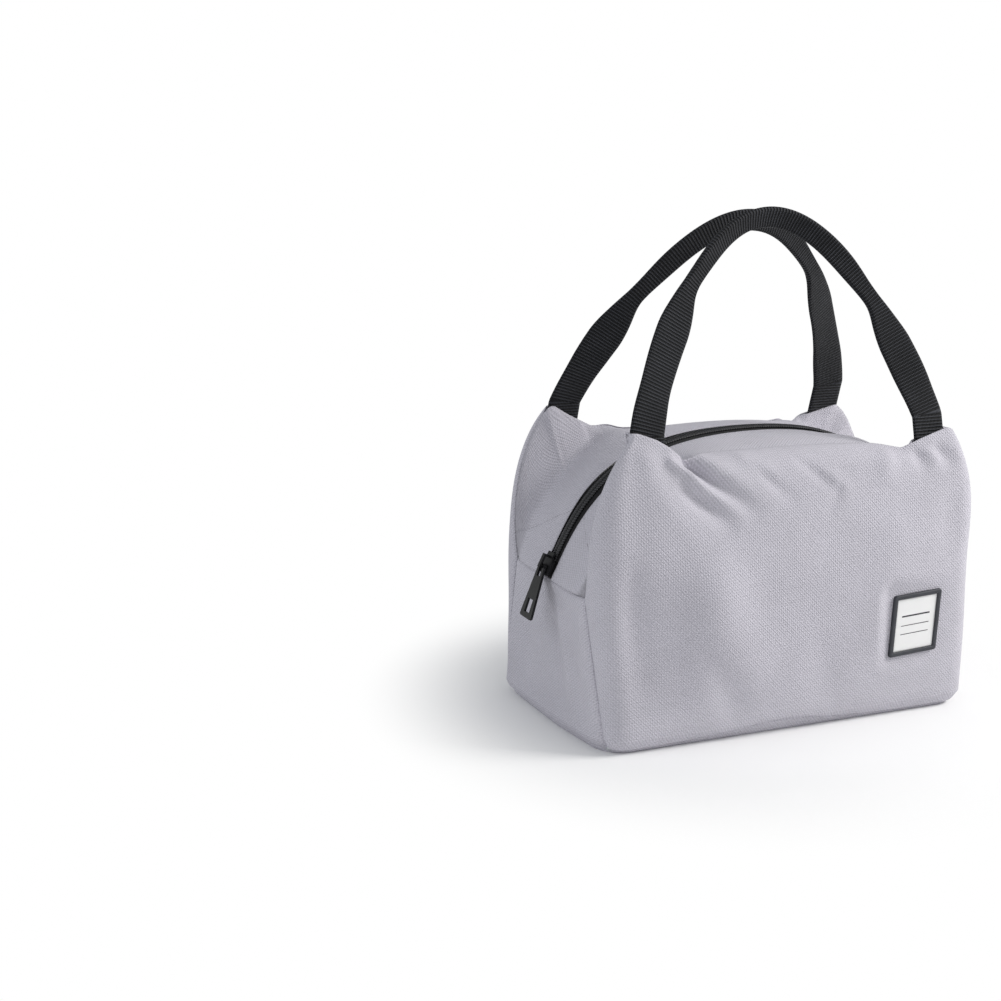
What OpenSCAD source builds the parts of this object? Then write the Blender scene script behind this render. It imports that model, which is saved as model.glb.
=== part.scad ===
// Soft insulated lunch bag: padded fabric body, domed top split by a zip,
// a zip slider with its pull, a name plate and two webbing handles.
// Millimetres. +Z is up, the front panel faces -Y, and the origin is the
// middle of the flat underside.

/* [Body] */
// Width across the two side gussets
bag_w = 240; // [190:1:300]
// Depth from the front panel to the back panel
bag_d = 125; // [100:1:160]
// Height of the side gussets, up to the seam below each end of the zip
gusset_h = 84; // [65:1:105]
// Height of the long top edge of the front and back panels
panel_h = 157; // [130:1:195]
// How far the middle of the zip stands above that edge
crown_rise = 4.5; // [3:0.5:12]
// How far the four ears that hold the handles stand above that edge
ear_rise = 12; // [6:1:20]
// Length of each ear's slanted top edge, measured back from its tip
ear_len = 38; // [25:1:50]
// Radius of the upright corners
corner_r = 16; // [10:1:24]
// Radius of the corner at an ear's tip
ear_corner_r = 4; // [3:0.5:6]
// How far an ear's tip leans in from the side
ear_lean_x = 18; // [8:1:26]
// How far an ear's tip leans in from the front or back
ear_lean_y = 11; // [4:1:18]

/* [Layers] */
// Thickness of the outer fabric
fabric_t = 1; // [0.6:0.1:1.6]
// Thickness of the insulating foam
foam_t = 3.8; // [2:0.1:6]
// Thickness of the foil lining
lining_t = 0.5; // [0.3:0.1:1]
// Air left between two layers
layer_gap = 0.6; // [0.5:0.1:0.8]
// Gap along a seam between two panels
seam_gap = 0.3; // [0.2:0.1:0.6]

/* [Seams] */
// How far the front seam lies round the corner at the foot, from the flat front
seam_foot = 14; // [8:1:20]
// How far the front seam lies round the corner at the top of the gusset
seam_top = 30; // [22:1:38]
// Distance of the fold at the foot of an ear from the front of the ear
fold_in = 7.5; // [7:0.5:12]

/* [Zip] */
// Steepness of the zip's two ends
zip_slope = 64; // [58:1:72]
// Pull of the shoulder curve along the end slope
zip_pull_low = 40; // [30:1:50]
// Distance from the side at which the shoulder curve runs level
zip_pull_high = 48; // [30:1:70]
// Visible half width of the zip tape
tape_half_w = 7; // [6:0.5:9]
// Thickness of the zip tape
tape_t = 0.6; // [0.4:0.1:1]
// Width of one coil
coil_w = 2.8; // [2:0.1:3.5]
// Height of one coil above the tape
coil_h = 1.8; // [1.2:0.1:2.4]
// Gap between the two coils
coil_gap = 0.3; // [0.2:0.05:0.5]
// Angle that each rim of the mouth opens
rim_open = 40; // [20:1:45]

/* [Slider] */
// Length of the slider
slider_l = 12.5; // [11:0.5:13.5]
// Width of the slider
slider_w = 9.2; // [8.4:0.1:11]
// Thickness of the slider's two plates
slider_plate_t = 1.1; // [0.8:0.1:1.5]
// Running clearance inside the slider
slider_clear = 0.4; // [0.3:0.05:0.6]
// Clear height under the slider's bridge
bridge_clear = 2.8; // [2.4:0.1:3.2]
// Width of the bridge
bridge_w = 2.4; // [1.8:0.1:3]
// Length of the pull, from its crossbar to its end
pull_l = 31; // [24:1:38]
// Width of each arm at the pull's head
pull_arm_w = 1.6; // [1.2:0.1:2.4]
// Width of the pull at its end
pull_end_w = 13.6; // [10:0.1:16]
// Thickness of the pull
pull_t = 1.4; // [1:0.1:2]
// Width of the slot in the pull
pull_slot_w = 5.8; // [3:0.1:7]
// Length of the slot in the pull
pull_slot_l = 7.8; // [4:0.1:10]
// Plain margin between the slot and the end of the pull
pull_margin = 3; // [2:0.1:5]
// Angle of the resting pull, out from straight down
pull_rest = 18; // [10:1:24]

/* [Handles] */
// Width of the webbing
webbing_w = 20; // [15:1:26]
// Thickness of the webbing
webbing_t = 1.6; // [1:0.1:2.2]
// Distance of the webbing from an ear's tip
handle_inset = 3; // [3:0.5:8]
// Height of a handle along its lean, above its turning line
handle_rise = 117; // [90:1:140]
// Distance of a leaning handle's top from the middle of the bag
handle_top_gap = 8; // [7:0.5:24]
// Twist of the webbing between an end and the top of a handle
handle_twist = 31; // [0:1:60]
// Width of the grip, where the webbing is folded double along its length
grip_w = 12; // [9:0.5:16]
// Height at which a handle's grip starts, above its turning line
grip_from = 38; // [25:1:60]
// Height of the turning line above an ear's tip
handle_axis_up = 2; // [1.8:0.1:3]

/* [Name plate] */
// Width of the name plate
plate_w = 32; // [24:1:40]
// Height of the name plate
plate_h = 36; // [28:1:44]
// Thickness of the plate's rim
plate_t = 2; // [1.4:0.1:3]
// Width of the plate's rim
plate_rim = 2.6; // [1.5:0.1:4]
// Distance of the plate's middle from the side of the bag
plate_inset = 38; // [34:1:60]
// Height of the plate's middle
plate_z = 52; // [40:1:80]

/* [Hidden] */
$fn = 48;

fabric_colour = [0.77, 0.76, 0.80];
foam_colour = [0.93, 0.93, 0.91];
lining_colour = [0.82, 0.84, 0.86];
black = [0.08, 0.08, 0.09];
metal_black = [0.13, 0.13, 0.14];
face_colour = [0.95, 0.95, 0.95];

// Depths of the layers below the outer surface
foam_at = fabric_t + layer_gap;
lining_at = foam_at + foam_t + layer_gap;
inner_at = lining_at + lining_t;
// Heights at which each layer of a wall stands on the base
wall_foot = fabric_t + 0.2;
foam_foot = wall_foot + foam_t + 0.2;
lining_foot = foam_foot + 0.4 + lining_t;

columns = 16;       // grid steps across half a panel
low_rows = 5;       // grid steps up to the top of the gusset
side_rows = 7;      // grid steps from there up to an ear's tip
ear_share = 0.59;   // share of the top's length that lies between the ears
fold_share = 0.75;  // share of the top's width that lies inside the fold

crown_h = panel_h + crown_rise;
ear_h = panel_h + ear_rise;
ear_start = 1 - ear_len / (bag_w / 2 - ear_lean_x);
lean_from = gusset_h + 11;
handle_half_span = bag_w / 2 - ear_lean_x - handle_inset - webbing_w / 2;
plate_x = bag_w / 2 - plate_inset;
// Room in front of the webbing: what the ear's rounded corner takes up, and play
ear_room = 0.6 + ear_corner_r - sqrt(pow(ear_corner_r, 2) - pow(max(ear_corner_r - handle_inset, 0), 2));

// ---- The body's outer surface ------------------------------------------

function clamp01(t) = min(max(t, 0), 1);
function lerp(a, b, t) = a + (b - a) * t;
function lean_share(z) = clamp01((z - lean_from) / (ear_h - lean_from));
function half_w(z) = bag_w / 2 - ear_lean_x * pow(lean_share(z), 2.2);
function half_d(z) = bag_d / 2 - ear_lean_y * pow(lean_share(z), 2);
function corner(z) = lerp(corner_r, ear_corner_r, pow(lean_share(z), 2));

// Length along the corner from the flat front to the front seam, at height z
function seam_run(z) = z < gusset_h
    ? lerp(seam_foot, seam_top, z / gusset_h)
    : lerp(seam_top, corner(z) * PI / 4,
           pow(clamp01((z - gusset_h) / (ear_h - gusset_h)), 0.8));

// Length round the outline from the middle of the front to the front seam,
// at height z and depth d below the surface
function seam_at(z, d) =
    let (r = corner(z), rd = max(r - d, 1), run = seam_run(z),
         turn = min(run / r, PI / 2), side = max(run - r * PI / 2, 0))
    half_w(z) - d - rd + turn * rd + side;

// A point of the outline at height z and depth d: straight across the front,
// round a quarter circle, straight back along the side, and round again
function outline(s, z, d) =
    let (a = half_w(z) - d, b = half_d(z) - d, r = max(corner(z) - d, 1),
         t = abs(s), side = s < 0 ? -1 : 1, front = a - r, arc = r * PI / 2,
         back = front + arc + 2 * (b - r),
         p = (t - front) / r * 180 / PI, q = (t - back) / r * 180 / PI)
    t <= front ? [s, -b, z] :
    t <= front + arc ? [side * (front + r * sin(p)), r * (1 - cos(p)) - b, z] :
    t <= back ? [side * a, r - b + (t - front - arc), z] :
    [side * (front + r * cos(q)), b - r + r * sin(q), z];
function half_round(z, d) =
    let (r = max(corner(z) - d, 1))
    half_w(z) - d - r + r * PI + 2 * (half_d(z) - d - r);

// Height of the front panel's top edge: level, rising to the ears
function edge_h(u) =
    panel_h + ear_rise * pow(clamp01((abs(u) - ear_start) / (1 - ear_start)), 1.25);

// The front panel's top: u runs from ear to ear, k from the gusset's top up
function front_point(u, k) =
    let (z = lerp(zip_end[1], edge_h(u), k)) outline(u * seam_at(z, 0), z, 0);

// ---- The zip's line and the top panel -----------------------------------

zip_end = [bag_w / 2 + 1.5, gusset_h + seam_gap];
zip_dir = [cos(zip_slope), sin(zip_slope)];
function along_end(l) = [zip_end[0] - l * zip_dir[0], zip_end[1] + l * zip_dir[1]];
rim_axis_at = slider_l + 3;         // distance of a rim's turning axis from the zip's end
zip_straight = rim_axis_at + 2.5;   // length of the straight stretch at each end
straight_share = 0.12;   // share of half the zip that is its straight end

// Half of the zip's line, q from 0 at its end to 1 at the crown, at depth d:
// a straight stretch and a cubic curve that is level at the crown
function zip_half(q, d) =
    let (push = d / sin(zip_slope))
    q < straight_share
    ? along_end(zip_straight * q / straight_share) - [push, 0]
    : let (t = (q - straight_share) / (1 - straight_share), s = 1 - t,
           a = along_end(zip_straight) - [push, 0],
           b = along_end(zip_straight + zip_pull_low) - [push, 0.3 * d],
           c = [bag_w / 2 - zip_pull_high - 0.25 * d, crown_h - d], e = [0, crown_h - d])
      a * s * s * s + b * 3 * s * s * t + c * 3 * s * t * t + e * t * t * t;

// The whole line, m from -1 at the left end to 1 at the right end
function zip_point(m, d) = let (p = zip_half(1 - abs(m), d)) [m < 0 ? -p[0] : p[0], p[1]];

tape_edge = tape_half_w + 0.3;

// Steps along the zip: down each side to the gusset, and from ear to ear
function spread(n) = [for (i = [-n : n]) sin(90 * i / n)];
side_steps = [for (j = [0 : side_rows - 1]) 1 - j / side_rows * (1 - ear_share)];
top_steps = concat([for (t = side_steps) -t], [for (u = spread(columns)) u * ear_share],
                   [for (j = [side_rows - 1 : -1 : 0]) side_steps[j]]);

// The front top seam, t from -1 at the left gusset to 1 at the right gusset
function top_seam(t) = abs(t) <= ear_share
    ? front_point(t / ear_share, 1)
    : front_point(t < 0 ? -1 : 1, (1 - abs(t)) / (1 - ear_share));

// Room at the seam: the webbing comes out of it at each ear
function ear_slot(t) =
    let (x = abs(t) / ear_share * (bag_w / 2 - ear_lean_x),
         off = abs(x - handle_half_span) - webbing_w / 2)
    clamp01((9.5 - off) / 2.5);
function seam_room(t) = 2 * fabric_t + seam_gap + ear_slot(t) * (ear_room + webbing_t + 0.4);

// The front top panel: w runs from the zip tape out to the fold, and from the
// fold up the back of the ear to the seam
function top_point(t, w) =
    let (p = zip_point(t, 0), b = top_seam(t), a = [p[0], -tape_edge, p[1]],
         c = [p[0], b[1] + fold_in, p[1]], e = b + [0, seam_room(t), 0])
    w < fold_share ? lerp(a, c, w / fold_share)
                   : lerp(c, e, (w - fold_share) / (1 - fold_share));
top_ws = [1, (1 + fold_share) / 2, fold_share, fold_share / 2, 0];

// A grid moved along its own normals by t, kept above the gusset
function sunk(grid, t) = let (n = len(grid) - 1, m = len(grid[0]) - 1)
    [for (i = [0 : n]) [for (j = [0 : m])
        let (across = grid[max(i - 1, 0)][j] - grid[min(i + 1, n)][j],
             along = grid[i][min(j + 1, m)] - grid[i][max(j - 1, 0)],
             p = grid[i][j] - t * unit(cross(across, along)))
        [p[0], p[1], max(p[2], zip_end[1])]]];
function unit(v) = v / norm(v);

// ---- The inner layers: a plain arch under the zip's line, without ears ------

// Place on half of the zip's line, at depth d, that lies at height z
function zip_at(z, d, low = 0, high = 1, n = 20) = let (m = (low + high) / 2)
    n == 0 ? m : zip_half(m, d)[1] < z ? zip_at(z, d, m, high, n - 1) : zip_at(z, d, low, m, n - 1);

// Length round the outline, at height z and depth d, to the arch or the seam
function arch_run(z, d) =
    let (x = zip_half(zip_at(z, d), d)[0], r = max(corner(z) - d, 1), front = half_w(z) - d - r,
         arc = x < front ? x : front + r * asin(clamp01((x - front) / r)) * PI / 180)
    z <= gusset_h ? seam_at(z, d) : min(seam_at(z, d), arc);

// Distance of the front wall from the middle plane, at depth d
function wall_y(x, z, d) =
    let (r = max(corner(z) - d, 1), over = min(max(x - half_w(z) + d + r, 0), r))
    half_d(z) - d - r + sqrt(r * r - over * over);

// How far the arch reaches: to the wall, to the side seam at the gusset, and in
// the middle only to the fold
function arch_reach(t, d0, d, stop) =
    let (p = zip_point(t, d), p0 = zip_point(t, d0), b = top_seam(t),
         fold = -b[1] - fold_in - seam_gap + bag_d * clamp01((b[2] - zip_point(t, 0)[1] - 2) / 3),
         side = abs(p0[0]) > half_w(p0[1]) - fabric_t - layer_gap ? -b[1] - 1 : bag_d)
    min(wall_y(abs(p[0]), p[1], stop), fold, side);

// ---- Closed sheets between two grids of points ---------------------------

module between(outer, inner) {
    n = len(outer);
    m = len(outer[0]);
    skin = n * m;
    function at(i, j) = i * m + j;
    function quad(a, b, c, d) = [[a, c, b], [a, d, c]];
    polyhedron(
        points = [for (g = [outer, inner]) for (line = g) for (p = line) p],
        faces = [for (f = concat(
            [for (i = [0 : n - 2]) for (j = [0 : m - 2])
                quad(at(i, j), at(i, j + 1), at(i + 1, j + 1), at(i + 1, j))],
            [for (i = [0 : n - 2]) for (j = [0 : m - 2])
                quad(skin + at(i, j), skin + at(i + 1, j), skin + at(i + 1, j + 1),
                     skin + at(i, j + 1))],
            [for (i = [0 : n - 2])
                quad(at(i, 0), at(i + 1, 0), skin + at(i + 1, 0), skin + at(i, 0))],
            [for (i = [0 : n - 2])
                quad(at(i + 1, m - 1), at(i, m - 1), skin + at(i, m - 1),
                     skin + at(i + 1, m - 1))],
            [for (j = [0 : m - 2])
                quad(at(0, j + 1), at(0, j), skin + at(0, j), skin + at(0, j + 1))],
            [for (j = [0 : m - 2])
                quad(at(n - 1, j), at(n - 1, j + 1), skin + at(n - 1, j + 1),
                     skin + at(n - 1, j))])) for (tri = f) tri],
        convexity = 6);
}

low_top = gusset_h - seam_gap / 2;

// One layer of the front wall, below the surface by d: the outer fabric has the
// ears, and the inner layers end under the arch
module front_shell(d, t, foot) {
    lows = [for (i = [0 : low_rows]) lerp(foot, low_top, i / low_rows)];
    ups = [for (i = [0 : side_rows]) i / side_rows];
    function outer(e) = concat(
        [for (z = lows) [for (u = spread(columns)) outline(u * seam_at(z, e), z, e)]],
        [for (k = ups) [for (u = spread(columns))
            let (z = lerp(zip_end[1], edge_h(u), k)) outline(u * seam_at(z, e), z, e)]]);
    function inner(e) = [for (z = concat(lows, [for (k = ups) lerp(zip_end[1], panel_h - d, pow(k, 1.6))]))
        [for (u = spread(columns)) outline(u * arch_run(z, e), z, e)]];
    if (d == 0) between(outer(0), outer(t)); else between(inner(d), inner(d + t));
}

// One layer of the right gusset, between the two upright seams
function gusset_point(u, v, d, foot) =
    let (z = lerp(foot, low_top, v), a = seam_at(z, d) + (d > 0 ? 2 : 1) * seam_gap,
         b = half_round(z, d) + half_w(z) - d - max(corner(z) - d, 1) - a)
    outline(lerp(a, b, u), z, d);
module gusset_shell(d, t, foot)
    between([for (v = [0 : low_rows]) [for (u = [0 : 16]) gusset_point(u / 16, v / low_rows, d, foot)]],
            [for (v = [0 : low_rows]) [for (u = [0 : 16]) gusset_point(u / 16, v / low_rows, d + t, foot)]]);

// One inner layer of the front half of the top, out to the wall at depth stop
module arch_shell(d, t, stop) {
    function grid(e) = [for (w = [1, 0.5, 0]) [for (m = top_steps)
        let (p = zip_point(m, e), far = arch_reach(m, d, e, stop))
        [p[0], -lerp(tape_edge, far, w), p[1]]]];
    between(grid(d), grid(d + t));
}

// A level plate that fills the outline at depth d
module base_plate(d, z, t) {
    a = bag_w / 2 - d;
    b = bag_d / 2 - d;
    r = corner_r - d;
    translate([0, 0, z]) linear_extrude(t) {
        square([2 * (a - r), 2 * b], center = true);
        square([2 * a, 2 * (b - r)], center = true);
        for (x = [-1, 1], y = [-1, 1]) translate([x * (a - r), y * (b - r)]) circle(r);
    }
}

// ---- Panels, foam and lining ---------------------------------------------

module front_panel() color(fabric_colour) front_shell(0, fabric_t, wall_foot);
module back_panel() mirror([0, 1, 0]) front_panel();
module right_gusset() color(fabric_colour) gusset_shell(0, fabric_t, wall_foot);
module left_gusset() mirror([1, 0, 0]) right_gusset();
module base_panel() color(fabric_colour) base_plate(0, 0, fabric_t);

module front_foam() color(foam_colour) front_shell(foam_at, foam_t, foam_foot);
module back_foam() mirror([0, 1, 0]) front_foam();
module right_foam() color(foam_colour) gusset_shell(foam_at, foam_t, foam_foot);
module left_foam() mirror([1, 0, 0]) right_foam();
module base_foam() color(foam_colour) base_plate(foam_at + seam_gap, wall_foot, foam_t);

module front_lining() color(lining_colour) front_shell(lining_at, lining_t, lining_foot + 0.2);
module back_lining() mirror([0, 1, 0]) front_lining();
module right_lining() color(lining_colour) gusset_shell(lining_at, lining_t, lining_foot + 0.2);
module left_lining() mirror([1, 0, 0]) right_lining();
module base_lining() color(lining_colour) base_plate(lining_at + seam_gap, foam_foot + 0.2, lining_t);

module front_top_panel() color(fabric_colour) {
    grid = [for (w = top_ws) [for (t = top_steps) top_point(t, w)]];
    between(grid, sunk(grid, fabric_t));
}
module back_top_panel() mirror([0, 1, 0]) front_top_panel();
module front_top_foam() color(foam_colour) arch_shell(foam_at, foam_t, lining_at);
module back_top_foam() mirror([0, 1, 0]) front_top_foam();
module front_top_lining() color(lining_colour) arch_shell(lining_at, lining_t, inner_at + 2 * seam_gap);
module back_top_lining() mirror([0, 1, 0]) front_top_lining();

// ---- Zip ------------------------------------------------------------------

// A strip of the zip between two depths, across y0..y1, on the given steps
module zip_strip(steps, d0, d1, y0, y1)
    translate([0, y1, 0]) rotate([90, 0, 0]) linear_extrude(y1 - y0)
        polygon(concat([for (m = steps) zip_point(m, d0)],
                       [for (i = [len(steps) - 1 : -1 : 0]) zip_point(steps[i], d1)]));

rim_steps = [for (i = [-30 : 30]) i / 30 * (1 - straight_share)];
tape_in = coil_w / 2;
module front_zip_tape() color(black)
    zip_strip(rim_steps, 0.2, 0.2 + tape_t, -tape_half_w, -tape_in);
module back_zip_tape() mirror([0, 1, 0]) front_zip_tape();
module front_zip_coil() color(black)
    zip_strip(rim_steps, 0.2, -coil_h, -coil_gap / 2 - coil_w, -coil_gap / 2);
module back_zip_coil() mirror([0, 1, 0]) front_zip_coil();

rim_axis = along_end(rim_axis_at);
slider_at = (slider_l + 3) / 2;
diamond_l = 3;       // length of the slider's solid wide end
coil_from = slider_at - slider_l / 2 + diamond_l + 1;
// The fixed end of the zip below a rim's turning axis, under the slider
module zip_end_half() difference() {
    union() {
        zip_strip([1, 1 - straight_share], 0.2, 0.2 + tape_t, -tape_half_w, -tape_in);
        zip_strip([1 - coil_from / zip_straight * straight_share, 1 - straight_share],
                  0.2, -coil_h, -coil_gap / 2 - coil_w, -coil_gap / 2);
    }
    translate([bag_w / 2, 0, rim_axis[1] - 0.3]) rotate([rim_open + 2, 0, 0])
        translate([-30, -40, 0]) cube([60, 60, 30]);
}
module right_zip_end() color(black) {
    zip_end_half();
    mirror([0, 1, 0]) zip_end_half();
}
module left_zip_end() mirror([1, 0, 0]) right_zip_end();

// Places a piece that is drawn on the tape (X up the zip, Z out of the bag)
// at the slider's rest place, at the zip's left end
module on_zip() {
    p = along_end(slider_at);
    translate([-p[0], 0, p[1]]) rotate([0, -zip_slope, 0]) children();
}

coil_half = coil_gap / 2 + coil_w;
plate_low = coil_h + slider_clear;
plate_under = -0.2 - tape_t - slider_clear;
rail_w = slider_w / 2 - coil_half - slider_clear;
bridge_low = plate_low + slider_plate_t;
bridge_t = 1.2;
bridge_l = 8;

module slider_plate(z) translate([0, 0, z]) linear_extrude(slider_plate_t) {
    translate([-slider_l / 2, -slider_w / 2]) square([slider_l * 0.62, slider_w]);
    translate([slider_l * 0.1, 0]) intersection() {
        circle(d = slider_w);
        translate([0, -slider_w / 2]) square([slider_w, slider_w]);
    }
    translate([0, -slider_w * 0.36]) square([slider_l / 2, slider_w * 0.72]);
}
module zip_slider() color(metal_black) on_zip() {
    slider_plate(plate_low);
    slider_plate(plate_under - slider_plate_t);
    // rails at the sides of the upper plate
    for (y = [-1, 1]) translate([-slider_l / 2, y * (slider_w - rail_w) / 2 - rail_w / 2, 0.4])
        cube([slider_l * 0.62, rail_w, plate_low]);
    // post between the two plates, at the wide end
    translate([-slider_l / 2 + 0.4, -coil_w * 0.32, plate_under - 0.2])
        cube([diamond_l - 0.8, coil_w * 0.64, plate_low - plate_under + 0.4]);
    // bridge that holds the pull
    translate([0, bridge_w / 2, bridge_low - 0.1]) rotate([90, 0, 0]) linear_extrude(bridge_w)
        difference() {
            translate([-bridge_l / 2, 0]) square([bridge_l, bridge_clear + bridge_t]);
            translate([-bridge_l / 2 + bridge_t, -0.1])
                square([bridge_l - 2 * bridge_t, bridge_clear + 0.1]);
        }
}

bar_d = 1.4;
pull_pivot = [-bridge_l / 2 + bridge_t + bar_d / 2 + 0.3,
              bridge_low + bridge_clear - bar_d / 2 - 0.4];
pull_eye = bridge_l / 2 - pull_pivot[0] + 1.2;
pull_head_w = bridge_w + 1.2 + 2 * pull_arm_w;
// The pull, drawn with its crossbar on the Y axis and its length along -X
module pull_shape() {
    translate([0, pull_head_w / 2, 0]) rotate([90, 0, 0]) cylinder(d = bar_d, h = pull_head_w);
    translate([0, 0, -pull_t / 2]) linear_extrude(pull_t) difference() {
        polygon([[0, -pull_head_w / 2], [0, pull_head_w / 2],
                 [-pull_l + 1, pull_end_w / 2], [-pull_l, pull_end_w / 2 - 1],
                 [-pull_l, 1 - pull_end_w / 2], [-pull_l + 1, -pull_end_w / 2]]);
        translate([-pull_eye, -bridge_w / 2 - 0.6])
            square([pull_eye - bar_d / 2, bridge_w + 1.2]);
        translate([-pull_l + pull_margin, -pull_slot_w / 2]) square([pull_slot_l, pull_slot_w]);
    }
}
module zip_pull() color(metal_black) on_zip()
    translate([pull_pivot[0], 0, pull_pivot[1]])
        rotate([0, pull_rest + zip_slope - 90, 0]) pull_shape();

// ---- Handles ----------------------------------------------------------------

tab_depth = fabric_t + ear_room + webbing_t / 2;
handle_axis_z = ear_h + handle_axis_up;
tab_top = handle_axis_z - webbing_t / 2 - 0.1;
tab_foot = panel_h + 0.5;
function tab_y(z) = tab_depth - half_d(min(z, ear_h));
tab_slope = (tab_y(ear_h) - tab_y(tab_foot)) / (ear_h - tab_foot);
handle_axis_y = tab_y(ear_h) + tab_slope * handle_axis_up;
handle_lean = asin((-handle_axis_y - handle_top_gap) / handle_rise);

handle_steps = 24;
// Half of a handle's arch in its own plane, k from 0 at its end to 1 at the
// top: steep and almost straight sides under a round top
function arch(k) = [-handle_half_span * cos(90 * k), handle_rise * pow(sin(90 * k), 1.8)];
// The arch as a point of space, leaning towards the middle
function arch_point(k) = let (p = arch(min(k, 2 - k)))
    [k > 1 ? -p[0] : p[0], handle_axis_y + p[1] * sin(handle_lean),
     handle_axis_z + p[1] * cos(handle_lean)];
function arch_tangent(k) = k <= 0 || k >= 2
    ? [0, sin(handle_lean), cos(handle_lean)] * (k <= 0 ? 1 : -1)
    : unit(arch_point(min(k + 0.01, 2)) - arch_point(max(k - 0.01, 0)));
lean_normal = [0, cos(handle_lean), -sin(handle_lean)];
// Direction across the webbing: level at an end, then square to the arch in its
// plane, and turning out of it
function arch_across(k) =
    let (t = arch_tangent(k), h = min(k, 2 - k), g = min(arch(h)[1] / 16, 1),
         e = unit(lerp([k < 1 ? -1 : 1, 0, 0], cross(lean_normal, t) * -1, g)),
         turn = handle_twist * h * h * (3 - 2 * h))
    e * cos(turn) - lean_normal * sin(turn);
// Share of the fold at k: 0 in the flat webbing and 1 in the grip, over 12 mm
function grip_share(k) = let (t = min(max((arch(min(k, 2 - k))[1] - grip_from) / 12, 0), 1))
    t * t * (3 - 2 * t);
module handle_loop() {
    ks = [for (i = [0 : 2 * handle_steps]) i / handle_steps];
    ring = [[-1, -1], [1, -1], [1, 1], [-1, 1]];
    pts = [for (k = ks) let (p = arch_point(k), w = arch_across(k), n = cross(arch_tangent(k), w),
                             f = grip_share(k), wide = lerp(webbing_w, grip_w, f) / 2,
                             deep = webbing_t * lerp(1, 2.2, f) / 2)
           for (c = ring) p + w * c[0] * wide + n * c[1] * deep];
    last = len(pts) - 4;
    polyhedron(points = pts, convexity = 8, faces = concat(
        [[0, 1, 2], [0, 2, 3], [last + 2, last + 1, last], [last + 3, last + 2, last]],
        [for (i = [0 : len(ks) - 2]) for (j = [0 : 3]) for (s = [0, 1])
            let (a = 4 * i + j, b = 4 * i + (j + 1) % 4)
            s == 0 ? [b + 4, b, a] : [a + 4, b + 4, a]]));
}
module front_handle() color(black) handle_loop();
module back_handle() mirror([0, 1, 0]) front_handle();

// The webbing's sewn ends, held in the ears between the panel and the top
module front_handle_ends() color(black)
    for (x = [-1, 1]) translate([x * handle_half_span + webbing_w / 2, 0, 0])
        rotate([0, -90, 0]) linear_extrude(webbing_w)
            polygon([for (e = [[tab_foot, -1], [tab_top, -1], [tab_top, 1], [tab_foot, 1]])
                     [e[0], tab_y(ear_h) + tab_slope * (e[0] - ear_h) + e[1] * webbing_t / 2]]);
module back_handle_ends() mirror([0, 1, 0]) front_handle_ends();

// ---- Name plate ---------------------------------------------------------------

face_w = plate_w - 2 * plate_rim;
face_h = plate_h - 2 * plate_rim;
plate_back = 1;
face_t = 0.6;
module plate_block(w, h, y0, t, r) translate([plate_x, -bag_d / 2 - y0, plate_z])
    rotate([90, 0, 0]) linear_extrude(t) {
        square([w - 2 * r, h], center = true);
        square([w, h - 2 * r], center = true);
        for (x = [-1, 1], z = [-1, 1]) translate([x * (w / 2 - r), z * (h / 2 - r)]) circle(r);
    }
module plate_frame() color(metal_black) difference() {
    plate_block(plate_w, plate_h, 0, plate_t, 1.5);
    plate_block(face_w, face_h, plate_back, plate_t, 0.6);
}
module plate_face() color(face_colour) plate_block(face_w - 0.2, face_h - 0.2, plate_back, face_t, 0.6);

front_panel();
back_panel();
left_gusset();
right_gusset();
base_panel();
front_foam();
back_foam();
left_foam();
right_foam();
base_foam();
front_lining();
back_lining();
left_lining();
right_lining();
base_lining();
front_top_panel();
back_top_panel();
front_top_foam();
back_top_foam();
front_top_lining();
back_top_lining();
front_zip_tape();
back_zip_tape();
front_zip_coil();
back_zip_coil();
left_zip_end();
right_zip_end();
zip_slider();
zip_pull();
front_handle();
back_handle();
front_handle_ends();
back_handle_ends();
plate_frame();
plate_face();
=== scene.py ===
"""Soft insulated lunch bag: grey padded fabric body with four ears, a domed top
split by a black zip, a lacquered slider with its pull, a name plate and two
black webbing handles. Lengths inside the formulas are millimetres; every mesh
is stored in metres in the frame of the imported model."""

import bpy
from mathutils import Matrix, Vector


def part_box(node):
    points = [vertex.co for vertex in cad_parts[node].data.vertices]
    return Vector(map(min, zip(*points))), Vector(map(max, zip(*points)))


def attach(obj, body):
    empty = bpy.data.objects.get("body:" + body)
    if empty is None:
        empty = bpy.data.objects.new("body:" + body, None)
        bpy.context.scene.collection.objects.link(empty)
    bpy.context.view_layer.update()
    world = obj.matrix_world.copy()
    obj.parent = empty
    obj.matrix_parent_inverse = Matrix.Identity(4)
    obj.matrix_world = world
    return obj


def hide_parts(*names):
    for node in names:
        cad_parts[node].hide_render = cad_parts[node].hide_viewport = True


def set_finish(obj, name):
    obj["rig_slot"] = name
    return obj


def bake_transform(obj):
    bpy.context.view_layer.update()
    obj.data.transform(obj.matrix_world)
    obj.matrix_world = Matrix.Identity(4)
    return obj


bl_info = {
    "name": "Insulated lunch bag",
    "version": (1, 0, 0),
    "blender": (4, 5, 0),
    "location": "3D View > Sidebar > Lunch Bag",
    "description": "Builds a soft insulated lunch bag round its packed frame",
    "category": "Add Mesh",
}

import bmesh
import bpy
import numpy as np
from bpy.props import FloatProperty, FloatVectorProperty, PointerProperty
from bpy.types import Operator, Panel, PropertyGroup
from mathutils import Matrix, Vector

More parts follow.
